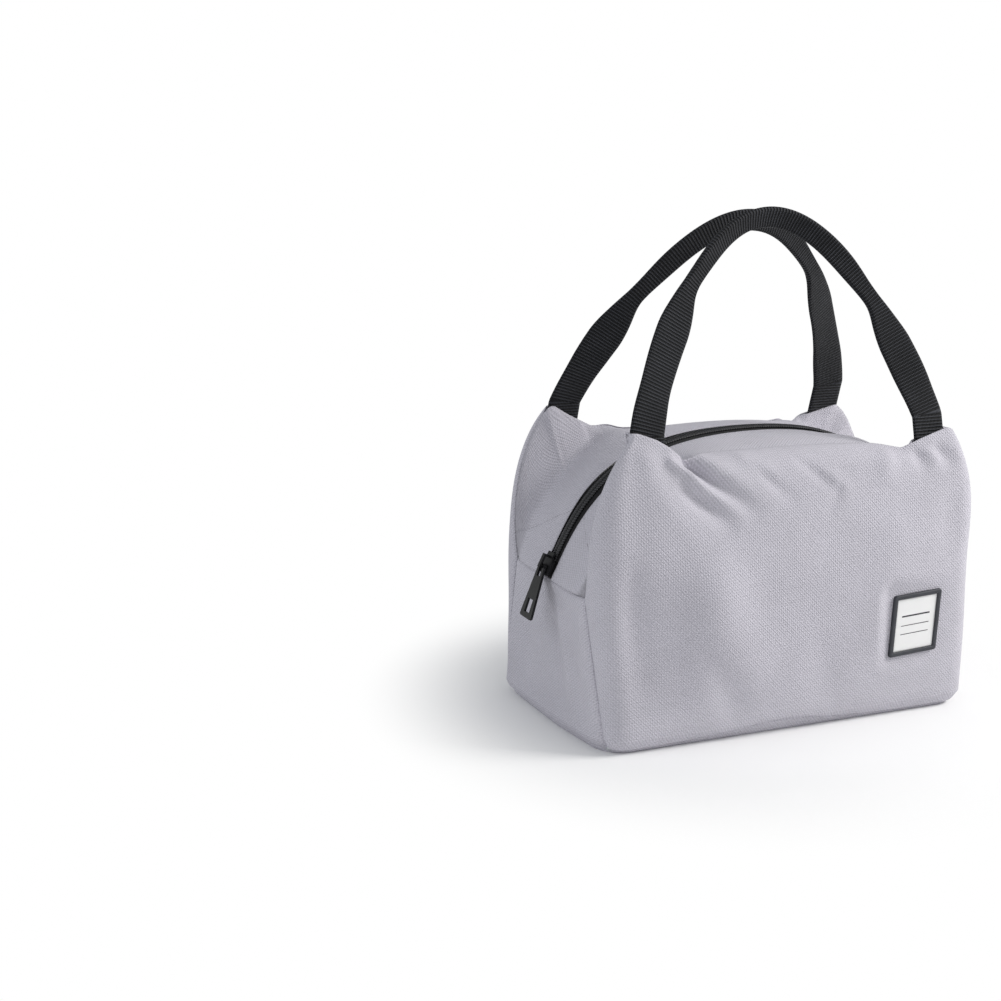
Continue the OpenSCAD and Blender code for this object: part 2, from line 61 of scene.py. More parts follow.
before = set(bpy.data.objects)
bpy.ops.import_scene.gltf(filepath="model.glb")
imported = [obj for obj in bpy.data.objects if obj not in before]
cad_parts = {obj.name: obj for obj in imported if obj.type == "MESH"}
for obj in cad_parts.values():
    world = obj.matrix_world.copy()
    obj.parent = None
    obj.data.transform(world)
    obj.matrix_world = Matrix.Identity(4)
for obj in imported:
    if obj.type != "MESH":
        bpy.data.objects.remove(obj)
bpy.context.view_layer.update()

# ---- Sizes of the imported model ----


def node_box(node):
    """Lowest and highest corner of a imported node, in millimetres."""
    return [np.array(v) * 1000 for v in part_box(node)]


WALL_LOW, WALL_HIGH = node_box("front_panel")
HALF_W, HALF_D = WALL_HIGH[0], -WALL_LOW[1]
EAR_Z, FOOT_Z = WALL_HIGH[2], WALL_LOW[2]
GUSSET_Z = node_box("left_gusset")[1][2] + 0.15
ZIP_Z = GUSSET_Z + 0.3
EAR_RISE, CROWN_RISE = 12.0, 2.8
PANEL_Z = EAR_Z - EAR_RISE
CROWN_Z = PANEL_Z + CROWN_RISE
CORNER_R, EAR_CORNER_R = 16.0, 4.0
LEAN_X, LEAN_Y = 18.0, 11.0
LEAN_FROM = GUSSET_Z + 11
LOW_ROWS = np.concatenate([np.linspace(FOOT_Z - 0.4, 12, 23),
                           np.linspace(12, GUSSET_Z, 39)[1:]])
UP_ROWS = 66
SEAM_FOOT, SEAM_TOP = 14.0, 30.0
FOLD_IN = 7.5
EAR_SHARE = 0.59
ZIP_SLOPE = np.radians(64.0)
ZIP_STRAIGHT, STRAIGHT_SHARE = 18.0, 0.12
ZIP_LOW, ZIP_HIGH = 40.0, HALF_W - 48
TAPE_EDGE = 7.3
FABRIC, FOAM_AT, INNER_AT = 1.0, 1.6, 6.5
WEB_W, GRIP_W, WEB_T = 20.0, 12.0, 1.6
PLATE_STAND = 2.4
HANDLE_X = node_box("front_handle")[1][0] - WEB_W / 2
HINGE_Y, HINGE_Z = -48.425, 171.0
TAB_LOW, TAB_HIGH, TAB_ROWS, TAB_DEPTH = 149.0, 169.9, 14, 2.527
SLOT_HALF = 13.8
STITCH_ROWS = (2.2, 5.4)
RIM_LOW, RIM_HIGH = 0.098, 0.116
LINER_AHEAD = 0.006
HINGE_TO_TOP, TOP_GAP = 117, 8
VIEW_AZIMUTH, VIEW_HEIGHT, VIEW_TILT = np.radians((-24.6, 14.2, 1.26))
VIEW_TARGET, VIEW_RANGE, LENS = np.array([-0.1497, 0, 0.1299]), 0.963, 64.74
SIDES = ((1, "front"), (-1, "back"))
ENDS = ((-1, "left"), (1, "right"))


# ---- Properties ----


def length(name, description, millimetres):
    """A length property, shown in the scene's units."""
    return FloatProperty(name=name, description=description,
                         default=millimetres / 1000, unit="LENGTH", precision=4)


def colour(name, description, rgb):
    """A colour property, in scene-linear values."""
    return FloatVectorProperty(name=name, description=description, size=3,
                               subtype="COLOR", default=rgb, min=0, max=1)


def amount(name, description, value):
    """A plain number of 0 or more."""
    return FloatProperty(name=name, description=description, default=value, min=0)


class BodySizes(PropertyGroup):
    ear_front_left: length("Front left ear", "Height of the ear's tip", 175.0)
    ear_front_right: length("Front right ear", "Height of the ear's tip", 165)
    ear_back_left: length("Back left ear", "Height of the ear's tip", 171.5)
    ear_back_right: length("Back right ear", "Height of the ear's tip", 159)
    bulge: length("Bulge", "How far the filled front and back stand out", 5.6)
    hollow: length("Hollow", "How far the sides sink in", 3.2)
    crease: length("Crease depth", "Depth of the deepest crease", 5.0)
    base_seam: length("Base seam", "Height of the seam along the base", 5.5)
    stitch_pitch: length("Stitch pitch", "Length of one stitch and its gap", 3.2)
    cloth: colour("Cloth", "Outer fabric", (0.58, 0.563, 0.625))
    foil: colour("Lining", "Foil lining", (0.62, 0.64, 0.66))


class ZipSizes(PropertyGroup):
    coil_pitch: length("Coil pitch", "Distance from one tooth to the next", 1.5)
    tape: colour("Tape", "Zip tape", (0.007, 0.007, 0.008))
    coil: colour("Coil", "Nylon coil", (0.008, 0.008, 0.009))
    lacquer: colour("Lacquer", "Slider and pull", (0.006, 0.006, 0.0065))


class HandleSizes(PropertyGroup):
    rib_pitch: length("Rib pitch", "Distance between two ribs of the webbing", 1.8)
    webbing: colour("Webbing", "Woven webbing", (0.0078, 0.0082, 0.0098))


class PlateSizes(PropertyGroup):
    tilt: FloatProperty(name="Tilt", description="Turn of the plate on the cloth",
                        default=np.radians(0.6), subtype="ANGLE")
    rubber: colour("Rubber", "Rim of the plate", (0.035, 0.037, 0.045))
    face: colour("Face", "Face of the plate", (0.83, 0.83, 0.83))


class StageSizes(PropertyGroup):
    key: amount("Key lamp", "Power of the key lamp", 12.2)
    fill: amount("Fill lamp", "Power of the fill lamp", 5.5)
    sky: amount("Sky", "Strength of the even light", 0.5)


# ---- Mesh helpers ----


def link(name, data):
    """A new object in the scene, at the origin."""
    thing = bpy.data.objects.new(name, data)
    bpy.context.scene.collection.objects.link(thing)
    return thing


def put(name, points, quads, slot, body, uv, material):
    """A mesh object from points in millimetres and four-sided faces. Its faces
    are turned outwards when the volume they enclose comes out negative."""
    p = np.asarray(points, float).reshape(-1, 3)
    if slot in ("outer_fabric", "lining"):
        p = settle(p)
    p = p / 1000
    q = np.asarray(quads, int).reshape(-1, 4)
    a, b, c, d = (p[q[:, k]] for k in range(4))
    volume = np.einsum("ij,ij->", a, np.cross(b, c)) + np.einsum("ij,ij->", a, np.cross(c, d))
    if volume < 0:
        q = q[:, ::-1]
    mesh = bpy.data.meshes.new(name)
    mesh.from_pydata(p.tolist(), [], q.tolist())
    mesh.polygons.foreach_set("use_smooth", np.ones(len(q), bool))
    if uv is not None:
        layer = mesh.uv_layers.new(name="UVMap")
        layer.data.foreach_set("uv", (np.asarray(uv).reshape(-1, 2)[q.ravel()] / 100).ravel())
    mesh.update()
    piece = link(name, mesh)
    mesh.materials.append(material)
    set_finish(piece, slot)
    if body:
        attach(piece, body)
    return piece


def settle(p):
    """The filled body's lopsided stand: its front foot moved right by a smooth
    step down the height, its upper back drawn in by a bell curve, and its back
    right ear drawn in by a smooth step up the height."""
    x, y, z = p[:, 0], p[:, 1], p[:, 2]
    foot = 4.5 * share(-y, 0, 60) * (1 - share(z, 10, 120))
    drawn = 2.6 * np.exp(-(((z - 130) / 34) ** 2)) * share(y, 4, 44) * share(np.abs(x), 50, 110)
    ear = 5.5 * share(z, 118, 156) * share(y, 6, 46) * share(x, 60, 100)
    return np.stack([x + foot - np.sign(x) * drawn - ear, y, z], -1)


def grid_quads(index):
    """Faces of a grid of point numbers."""
    return np.stack([index[:-1, :-1], index[1:, :-1], index[1:, 1:], index[:-1, 1:]],
                    -1).reshape(-1, 4)


def sheet_mesh(outer, inner):
    """Points and faces of a closed sheet: the two grids, joined round their edge."""
    n, m = outer.shape[:2]
    index = np.arange(n * m).reshape(n, m)
    edge = np.concatenate([index[0], index[1:, -1], index[-1, -2::-1], index[-2:0:-1, 0]])
    after = np.roll(edge, -1)
    rim = np.stack([edge, after, after + n * m, edge + n * m], -1)
    quads = np.concatenate([grid_quads(index), grid_quads(index + n * m)[:, ::-1], rim])
    return np.concatenate([outer.reshape(-1, 3), inner.reshape(-1, 3)]), quads


def put_sheet(name, outer, inner, uv, slot, body, material, side=1):
    """A closed sheet's object from its two grids, mirrored for the back. Both
    faces share one map."""
    points, quads = sheet_mesh(mirrored(outer, side), mirrored(inner, side))
    return put(name, points, quads, slot, body, np.concatenate([uv, uv]), material)


def tube_mesh(rings):
    """Points and faces of a closed tube: rings of points along a path, each ring
    joined to the next, with a fan of thin faces over each end."""
    n, m = rings.shape[:2]
    index = np.arange(n * m).reshape(n, m)
    index = np.concatenate([index, index[:, :1]], 1)
    quads = grid_quads(index)
    caps = []
    for row, flip in ((index[0], False), (index[-1], True)):
        half = m // 2
        k = np.arange(half - 1)
        cap = np.stack([row[k], row[k + 1], row[m - 2 - k], row[m - 1 - k]], -1)
        caps.append(cap[:, ::-1] if flip else cap)
    return rings.reshape(-1, 3), np.concatenate([quads] + caps)


def xyz(*parts):
    """Points or map places from their coordinates, stretched to one shape."""
    return np.stack(np.broadcast_arrays(*parts), -1)


def unit(v):
    """The vectors at length 1."""
    return v / np.linalg.norm(v, axis=-1, keepdims=True)


def upright(v, t):
    """The part of v at right angles to t, at length 1."""
    return unit(v - t * np.sum(v * t, -1, keepdims=True))


def run_along(path):
    """Length along a path of points, from 0 at its start."""
    return np.cumsum(np.linalg.norm(np.diff(path, axis=0, prepend=path[:1]), axis=1))


def smoothed(path, turns):
    """The path or grid with its kinks eased: each row averaged with its two
    neighbours, a number of times, with the ends kept."""
    path = path.copy()
    for _ in range(turns):
        path[1:-1] = 0.25 * path[:-2] + 0.5 * path[1:-1] + 0.25 * path[2:]
    return path


def turned(grid):
    """Unit normals of a grid: the cross product of its two directions."""
    n = np.cross(np.gradient(grid, axis=1), np.gradient(grid, axis=0))
    return n / np.maximum(np.linalg.norm(n, axis=-1, keepdims=True), 1e-9)


def facing(normal, place, sign):
    """The normals, turned round if the one at the place has the other sign."""
    return normal if normal[place] * sign > 0 else -normal


def turned_like(grid, before):
    """The grid's normals, on the same side as the ones before."""
    normal = turned(grid)
    return normal if np.sum(normal * before) > 0 else -normal


def share(value, low, high):
    """0 below low, 1 above high, and a smooth step between them."""
    t = np.clip((value - low) / (high - low), 0, 1)
    return t * t * (3 - 2 * t)


def mirrored(grid, side):
    """The grid itself, or its mirror image in the middle plane for the back."""
    return grid * np.array([1, side, 1])


# ---- The body's surface ----


def lean(z):
    """Share of the lean at height z, from 0 at the shoulder to 1 at an ear's tip."""
    return np.clip((z - LEAN_FROM) / (EAR_Z - LEAN_FROM), 0, 1)


def tuck(z):
    """How far the bottom edge turns under: a slope below the base seam."""
    return 0.5 * np.clip(8.0 - z, 0, 8.4)


def base_line(s, side):
    """Height of the seam along the base at length s: even, and on the front
    raised near the middle by a bell curve, where the base turns up."""
    seam = bpy.context.scene.bag_body.base_seam * 1000
    return seam * (0.47 + 1.13 * np.exp(-(((s + 10) / 42) ** 2))) if side > 0 else seam + 0 * s


def base_edge(z, line):
    """The cloth above the base seam stands over the strip below it: a step at
    the seam that dies away above it, and a groove in the step."""
    over = 1.3 * share(z - line, -0.3, 0.7) * np.exp(-np.clip(z - line, 0, 80) / 9)
    return over - 0.9 * np.exp(-(((z - line + 0.5) / 0.7) ** 2))


def half_w(z):
    """Half the body's width: the filled sides stand out by a bell curve of the
    height, and lean in by the cube of the lean's share."""
    full = 2.6 * np.exp(-(((z - 122) / 38) ** 2))
    return HALF_W + full - LEAN_X * lean(z) ** 3 - tuck(z)


def half_d(z):
    """Half the body's depth: it leans in by the square of the lean's share."""
    return HALF_D - LEAN_Y * lean(z) ** 2 - tuck(z)


def corner(z):
    """Radius of the upright corners: it narrows by the square of the lean's share."""
    return CORNER_R + (EAR_CORNER_R - CORNER_R) * lean(z) ** 2


def seam_run(z):
    """Length round the corner to the side seam: linear up the gusset, then
    easing to half the corner at an ear's tip."""
    low = SEAM_FOOT + (SEAM_TOP - SEAM_FOOT) * np.clip(z / GUSSET_Z, 0, 1)
    up = np.clip((z - GUSSET_Z) / (EAR_Z - GUSSET_Z), 0, 1) ** 0.8
    high = SEAM_TOP + (corner(z) * np.pi / 4 - SEAM_TOP) * up
    return np.where(z < GUSSET_Z, low, high)


def seam_at(z, d):
    """Length round the outline from the middle of the front to the side seam."""
    r = corner(z)
    rd = np.maximum(r - d, 1)
    run = seam_run(z)
    return (half_w(z) - d - rd + np.minimum(run / r, np.pi / 2) * rd
            + np.maximum(run - r * np.pi / 2, 0))


def outline(s, z, d):
    """Point of the rounded rectangle at signed length s from the middle of the
    front, height z and depth d: straight, round a quarter circle, straight
    back along the side, and round again."""
    a, b, r = half_w(z) - d, half_d(z) - d, np.maximum(corner(z) - d, 1)
    t, side = np.abs(s), np.where(s < 0, -1.0, 1.0)
    front = a - r
    arc = r * np.pi / 2
    back = front + arc + 2 * (b - r)
    p, q = (t - front) / r, (t - back) / r
    x = np.where(t <= front, t, np.where(t <= front + arc, front + r * np.sin(p),
                 np.where(t <= back, a, front + r * np.cos(q))))
    y = np.where(t <= front, -b, np.where(t <= front + arc, r * (1 - np.cos(p)) - b,
                 np.where(t <= back, r - b + (t - front - arc), b - r + r * np.sin(q))))
    return xyz(side * x, y, z)


def ears(side):
    """Heights of the left and right ear of the front (side 1) or back (-1)."""
    s = bpy.context.scene.bag_body
    pair = (s.ear_front_left, s.ear_front_right) if side > 0 else (s.ear_back_left,
                                                                  s.ear_back_right)
    return pair[0] * 1000, pair[1] * 1000


def middle(u):
    """1 between the ears, 0 at them."""
    return 1 - share(np.abs(u), 0.44, 0.70)


def edge_z(u, side):
    """Height of the wall's top edge: nearly level in the middle, rising to each
    ear by a power of the way along it, and rounded off by a square at the tips."""
    left, right = ears(side)
    t = np.clip((np.abs(u) - 0.62) / 0.38, 0, 1)
    rise = t ** (0.7 if side > 0 else 1.1)
    if side > 0:
        level = PANEL_Z + 5.5 * middle(u) - 3.0 * share(u, 0, 0.6)
        tip = np.where(u < 0, 2.0, 5.0) * np.clip((np.abs(u) - 0.93) / 0.07, 0, 1) ** 2
    else:
        level = PANEL_Z - 1.0 - 5.5 * share(u, -0.7, 0.7)
        tip = 4.0 * np.clip((np.abs(u) - 0.93) / 0.07, 0, 1) ** 2 \
            + 7.0 * np.clip((u - 0.93) / 0.07, 0, 1) ** 2
    return level + (np.where(u < 0, left, right) - level) * rise - tip


def roll_over(u, z, side):
    """How far in, and how far down, the wall's top rolls over between the ears:
    an arc of 11 mm radius over its last 14 mm."""
    over = np.clip(z - edge_z(u, side) + 14, 0, 14)
    a = over / 11
    return 11 * (1 - np.cos(a)) * middle(u), (11 * np.sin(a) - over) * middle(u)


def crease(x, z, path, width, depth, fade):
    """A ridge (positive depth) or groove along a line of points: a bell curve of
    the distance from it, which fades out at its end or at both ends."""
    best = np.full(np.broadcast(x, z).shape, np.inf)
    way = np.zeros_like(best)
    n = len(path) - 1
    for i, ((x0, z0), (x1, z1)) in enumerate(zip(path[:-1], path[1:])):
        dx, dz = x1 - x0, z1 - z0
        t = np.clip(((x - x0) * dx + (z - z0) * dz) / (dx * dx + dz * dz), 0, 1)
        dist = np.hypot(x - x0 - t * dx, z - z0 - t * dz)
        way = np.where(dist < best, (i + t) / n, way)
        best = np.minimum(dist, best)
    ease = np.cos(way * np.pi / 2) if fade == "end" else np.sin(way * np.pi)
    return depth * ease * np.exp(-((best / (width * (0.7 + 0.7 * way))) ** 2))


def plate_zone(x, z):
    """1 on the name plate, 0 away from it: the plate keeps the cloth flat."""
    low, high = node_box("plate_frame")
    dx = np.maximum(np.maximum(low[0] - 6 - x, x - high[0] + 6), 0)
    dz = np.maximum(np.maximum(low[2] + 3 - z, z - high[2] - 3), 0)
    return 1 - share(np.hypot(dx, dz), 1, 12)


def soft(x, z, seed, size):
    """Slow unevenness of hand-filled cloth: the mean of five sine waves."""
    rng = np.random.default_rng(seed)
    total = 0
    for _ in range(5):
        angle, phase = rng.uniform(0, np.pi), rng.uniform(0, 2 * np.pi)
        wave = size * rng.uniform(0.8, 1.8)
        total = total + np.sin((x * np.cos(angle) + z * np.sin(angle)) / wave * 2 * np.pi + phase)
    return total / 5


# Creases of the two walls: line of points, width, share of the deepest crease, fade
FRONT_CREASES = (
    ([(-73, 162), (-64, 153.5), (-56, 146.5), (-47, 140.5), (-36, 133), (-24, 125)],
     4.0, -1.45, "end"),
    ([(-78, 158), (-66, 148.5), (-57, 142), (-47, 135.5), (-36, 128)], 3.8, 0.8, "end"),
    ([(-68, 161), (-59, 157.5), (-48, 151), (-36, 144), (-22, 135)], 4.4, 0.42, "end"),
    ([(-76, 148), (-68, 140), (-60, 134), (-50, 127), (-40, 120)], 4.6, -0.8, "both"),
    ([(-88, 150), (-82, 136), (-72, 122), (-60, 112)], 7.0, 0.3, "both"),
    ([(-34, 156), (-24, 148), (-14, 139), (-2, 131)], 3.2, -0.3, "both"),
    ([(-40, 159), (-26, 151), (-12, 145)], 3.4, 0.28, "both"),
    ([(-4, 154), (10, 146), (24, 134)], 3.0, -0.24, "both"),
    ([(6, 150), (20, 143), (34, 132)], 3.4, 0.24, "both"),
    ([(26, 143), (22, 132), (14, 122)], 3.0, -0.16, "both"),
    ([(70, 160), (76, 154), (80, 148), (86, 142)], 4.0, -0.55, "both"),
    ([(80, 158), (90, 154), (98, 148), (104, 142)], 4.0, -0.5, "both"),
    ([(86, 164), (88, 156), (89, 148), (88, 138)], 5.0, 0.34, "end"),
    ([(60, 156), (56, 146), (54, 134)], 6.0, 0.3, "both"),
    ([(-92, 160), (-90, 140), (-86, 112), (-74, 84)], 9.0, 0.36, "end"),
    ([(-114, 120), (-100, 82), (-80, 42), (-66, 10)], 15.0, -0.34, "both"),
    ([(-60, 118), (-54, 70), (-42, 12)], 21.0, 1.4, "both"),
    ([(-104, 112), (-102, 66), (-96, 14)], 9.0, -0.6, "both"),
    ([(56, 120), (60, 70), (54, 20)], 18.0, 0.35, "both"),
    ([(-66, 60), (-48, 30), (-34, 8)], 8.0, -0.3, "both"),
    ([(-52, 60), (-44, 30), (-38, 6)], 11.0, -0.28, "both"),
    ([(10, 58), (16, 30), (18, 6)], 12.0, -0.3, "both"),
    ([(104, 138), (100, 110), (104, 80)], 10.0, -0.3, "both"),
    ([(-6, 112), (30, 104), (62, 108)], 16.0, -0.2, "both"),
)
BACK_CREASES = (
    ([(-80, 164), (-68, 152), (-58, 138), (-50, 118)], 5.0, -0.7, "end"),
    ([(-70, 162), (-56, 148), (-42, 132)], 5.0, 0.5, "end"),
    ([(78, 158), (66, 148), (54, 136), (40, 122)], 5.0, -0.75, "end"),
    ([(68, 160), (52, 148), (38, 138)], 5.0, 0.5, "end"),
    ([(30, 90), (26, 58), (24, 18)], 14.0, 0.4, "both"),
    ([(-40, 70), (-34, 36), (-30, 8)], 13.0, -0.3, "both"),
    ([(96, 140), (92, 108), (98, 70)], 11.0, -0.3, "both"),
    ([(-96, 136), (-92, 100), (-96, 60)], 11.0, -0.3, "both"),
)


def wall_relief(x, z, side):
    """Outward shift of the front or back wall: a shallow pillow, slow
    unevenness, and the creases that run down from the ears."""
    s = bpy.context.scene.bag_body
    full, deep = s.bulge * 1000, s.crease * 1000
    pillow = full * (1 - np.clip(np.abs(x) / 126, 0, 1) ** 2.6) \
        * np.sin(np.clip((z + 4) / 166, 0, 1) * np.pi) ** 0.55
    slow = 0.55 * soft(x, z, 3 if side > 0 else 8, 70) * share(z, 0, 20)
    lines = FRONT_CREASES if side > 0 else BACK_CREASES
    folds = sum(crease(x, z, p, w, d * deep, f) for p, w, d, f in lines)
    total = pillow + slow + folds
    if side < 0:
        return total
    flat = plate_zone(x, z)
    return total * (1 - flat) + PLATE_STAND * flat


def seam_dip(distance, depth=0.8, width=1.6):
    """Cloth drawn in along a seam: a bell curve of the distance from it."""
    return -depth * np.exp(-((distance / width) ** 2))


def wall_rows(side, u):
    """Heights of a wall's grid: level rows up to the gusset's top, then rows
    that share out the rest up to the top edge."""
    k = np.linspace(0, 1, UP_ROWS + 1)[1:, None]
    return np.concatenate([LOW_ROWS[:, None] + 0 * u, ZIP_Z + (edge_z(u, side) - ZIP_Z) * k])


def wall_surface(side, columns=171):
    """The wall's outer grid: the outline at each height, rolled over at the top,
    and shifted along its normals by the relief, which fades out at the seams.
    With it go its normals, the lengths for its pattern, and its columns."""
    u = np.linspace(-1, 1, columns)[None, :]
    z = wall_rows(side, u)
    s = u * seam_at(z, 0)
    grid = outline(s, z, 0)
    inward, down = roll_over(u, z, side)
    grid[..., 1] += inward
    grid[..., 2] += down
    normal = facing(turned(grid), (len(z) // 2, columns // 2, 1), -1)
    seam = np.abs(np.abs(s) - seam_at(z, 0))
    quiet = share(seam, 0, 12) * share(z, 2, 14)
    ears_near = share(np.abs(u), 0.5, 0.66) * share(z, edge_z(u, side) - 9, edge_z(u, side))
    shift = wall_relief(s, z, side) * quiet * (1 - 0.8 * ears_near) + seam_dip(seam, 1.7, 1.5) \
        + base_edge(z, base_line(s, side)) * share(seam, 0, 6)
    grid = grid + normal * shift[..., None]
    return grid, turned_like(grid, normal), np.stack([s, z], -1), u


def thick(outer, normal, amount):
    """The grid moved in by a thickness that thins out to a third at its edge."""
    n, m = outer.shape[:2]
    i = np.minimum(np.arange(n), np.arange(n)[::-1])[:, None]
    j = np.minimum(np.arange(m), np.arange(m)[::-1])[None, :]
    t = amount * (0.34 + 0.66 * np.clip(np.minimum(i, j) / 2, 0, 1))
    return outer - normal * t[..., None]


# ---- The zip's line and the top ----


def along_end(l):
    """Point (x, z) at length l up the zip's straight right end."""
    return np.array([HALF_W + 1.5 - l * np.cos(ZIP_SLOPE), ZIP_Z + l * np.sin(ZIP_SLOPE)])


def zip_half(q, d):
    """Half of the zip's line at depth d: a straight stretch, then a cubic curve
    that is level at the crown."""
    q = np.asarray(q, float)[..., None]
    push = np.array([1.0, 0]) * (np.asarray(d) / np.sin(ZIP_SLOPE))[..., None]
    d2 = np.asarray(d)[..., None] * np.array([0.25, 1.0])
    t = np.clip((q - STRAIGHT_SHARE) / (1 - STRAIGHT_SHARE), 0, 1)
    s = 1 - t
    line = along_end(0) + (along_end(ZIP_STRAIGHT) - along_end(0)) * q / STRAIGHT_SHARE - push
    a = along_end(ZIP_STRAIGHT) - push
    b = along_end(ZIP_STRAIGHT + ZIP_LOW) - push - np.asarray(d)[..., None] * np.array([0, 0.3])
    c = np.array([ZIP_HIGH, CROWN_Z]) - d2
    e = np.array([0, CROWN_Z]) - d2 * np.array([0, 1])
    curve = a * s**3 + 3 * b * s * s * t + 3 * c * s * t * t + e * t**3
    return np.where(q < STRAIGHT_SHARE, line, curve)


def zip_point(m, d):
    """The whole line: m from -1 at the left end to 1 at the right end."""
    p = zip_half(1 - np.abs(m), np.broadcast_to(np.asarray(d, float), np.shape(m)))
    return np.stack([np.where(np.asarray(m) < 0, -p[..., 0], p[..., 0]), p[..., 1]], -1)


def zip_course(start, end, step):
    """Places m along the zip a step apart, from start to end along its length."""
    m = np.linspace(-1, 1, 4001)
    p = zip_point(m, 0.0)
    run = run_along(p)
    wanted = np.arange(start, run[-1] - end, step)
    return np.interp(wanted, run, m), wanted, run[-1]


def tape_edge(t):
    """Half the width of the zip's opening in the cloth, wider at the crown."""
    return 5.9 + 2.3 * share(1 - np.abs(t), 0.08, 0.5)


def top_surface(side, columns=181, rows=30):
    """One half of the top: from the tape out to the fold along the zip's arch,
    then up the back of the ears to the wall's top edge. The fold is rounded by
    averaging each section with its neighbours. A product of smooth steps raises
    the front's right half beside the zip, and two bell-curve grooves hold the
    rows of stitches."""
    t = np.sort(np.concatenate([np.linspace(-1, 1, columns), [-EAR_SHARE, EAR_SHARE]]))
    wall, normal, _, u = wall_surface(side)
    k = np.clip((1 - np.abs(t)) / (1 - EAR_SHARE), 0, 1)
    top = np.abs(t) <= EAR_SHARE
    uu = np.where(top, t / EAR_SHARE, np.where(t < 0, -1.0, 1.0))
    edge = np.empty((len(t), 3))
    line = wall[-1]
    for axis in range(3):
        edge[:, axis] = np.interp(uu, u[0], line[:, axis])
        for end, column in ((-1, 0), (1, -1)):
            here = (~top) & (np.sign(t) == end)
            edge[here, axis] = np.interp(k[here], np.linspace(0, 1, UP_ROWS + 1),
                                         wall[-1 - UP_ROWS:, column, axis])
    p = zip_point(t, 0.0)
    x = np.abs(edge[:, 0])
    drawn = np.where((side < 0) & (edge[:, 0] > 0), 4.0, 0.0)
    slot = share(SLOT_HALF - np.abs(x - HANDLE_X - drawn), 0, 2.5) * top
    gap = 0.35 + slot * (WEB_T + 1.7)
    b_y = -outline(uu * seam_at(edge[:, 2], 0), edge[:, 2], 0)[:, 1]
    fold = np.stack([p[:, 0], -(b_y - FOLD_IN), p[:, 1]], -1)
    fold[:, 1] = np.maximum(fold[:, 1], -(np.abs(edge[:, 1]) - 3.0))
    calm = middle(uu) * top
    w = 0.62
    level = np.stack([p[:, 0] + (edge[:, 0] - p[:, 0]) * w,
                      tape_edge(t) * (w - 1) + edge[:, 1] * w,
                      p[:, 1] + (edge[:, 2] - p[:, 1]) * w ** 2], -1)
    fold += (level - fold) * calm[:, None]
    tape = np.stack([p[:, 0], -tape_edge(t), p[:, 1]], -1)
    rim = edge + np.stack([0 * gap, gap * (1 - calm) - 1.2 * calm, -0.85 * calm], -1)
    inner = np.linspace(0, 1, int(rows * 0.6))[:, None, None]
    outer = np.linspace(0, 1, rows - int(rows * 0.6) + 1)[1:, None, None]
    grid = np.concatenate([tape + (fold - tape) * inner, fold + (rim - fold) * outer])
    y = grid[..., 1]
    flat = share(-y, 9, 18) * share(b_y - FOLD_IN + y, -1, 10)
    puff = flat * (0.9 + 0.6 * soft(t[None, :] * 160, y, 5 if side > 0 else 6, 60))
    grid[..., 2] += puff * np.clip((p[:, 1] - ZIP_Z) / 40, 0, 1)
    grid[..., 0] += puff * np.sign(t) * share(np.abs(t), 0.5, 1) * 0.6
    grid = smoothed(grid, 8)
    if side > 0:
        near = share(-grid[..., 1] - tape_edge(t), 0.3, 4.5) * share(grid[..., 1] + 45, 0, 28)
        grid[..., 2] += 3.0 * near * share(t, 0.2, 0.4) * share(0.8 - t, 0, 0.15)
    for away, depth in zip(STITCH_ROWS, (0.4, 0.25)):
        grid[..., 2] += seam_dip(-grid[..., 1] - tape_edge(t) - away, depth, 0.7)
    normal = facing(turned(grid), (3, len(t) // 2, 2), 1)
    grid[..., 2] = np.maximum(grid[..., 2], ZIP_Z)
    along = np.cumsum(np.linalg.norm(np.diff(grid, axis=1, prepend=grid[:, :1]), axis=2), 1)
    away = np.cumsum(np.linalg.norm(np.diff(grid, axis=0, prepend=grid[:1]), axis=2), 0)
    return grid, normal, np.stack([along - along[:, [len(t) // 2]], away], -1)


def gusset_surface(d, rows=LOW_ROWS, columns=110):
    """The right side between its two seams, hollowed by the product of two sine
    arches, with soft upright folds."""
    v = rows[:, None]
    a = seam_at(v, d)
    r = np.maximum(corner(v) - d, 1)
    whole = half_w(v) - d - r + r * np.pi + 2 * (half_d(v) - d - r)
    b = whole + half_w(v) - d - r - a
    u = np.linspace(0, 1, columns)[None, :]
    s = a + 0.25 + (b - a - 0.5) * u
    z = v + 0 * u
    grid = outline(s, z, d)
    y = grid[..., 1]
    near = np.minimum(s - a, b - s)
    hollow = bpy.context.scene.bag_body.hollow * 1000
    shift = -hollow * np.sin(u * np.pi) ** 1.4 * np.sin(np.clip(z / 96, 0, 1) * np.pi) ** 0.8
    shift = shift + crease(y, z, [(-6, 74), (-18, 48), (-28, 22), (-34, 2)], 6, 2.4, "both") \
        + crease(y, z, [(6, 72), (-8, 44), (-14, 12)], 6, -1.9, "both") \
        + crease(y, z, [(-34, 80), (-42, 50), (-50, 20)], 7, 1.2, "both") \
        + crease(y, z, [(34, 74), (26, 44), (22, 14)], 8, -1.7, "both")
    shift = shift * share(near, 0, 9) * share(z, 2, 12) * share(GUSSET_Z - z, 0, 8)
    shift = shift + seam_dip(near, 1.3, 1.6) + seam_dip(GUSSET_Z - z, 1.4, 1.2) \
        + base_edge(z, 4.0) * share(near, 0, 6)
    grid[..., 0] += shift
    return grid, np.stack([s + 0 * z, z], -1)


def arch_place(z, d):
    """Place on half of the zip's line, at depth d, that lies at height z."""
    q = np.linspace(0, 1, 800)
    return np.interp(z, zip_half(q, np.full(800, float(d)))[:, 1], q)


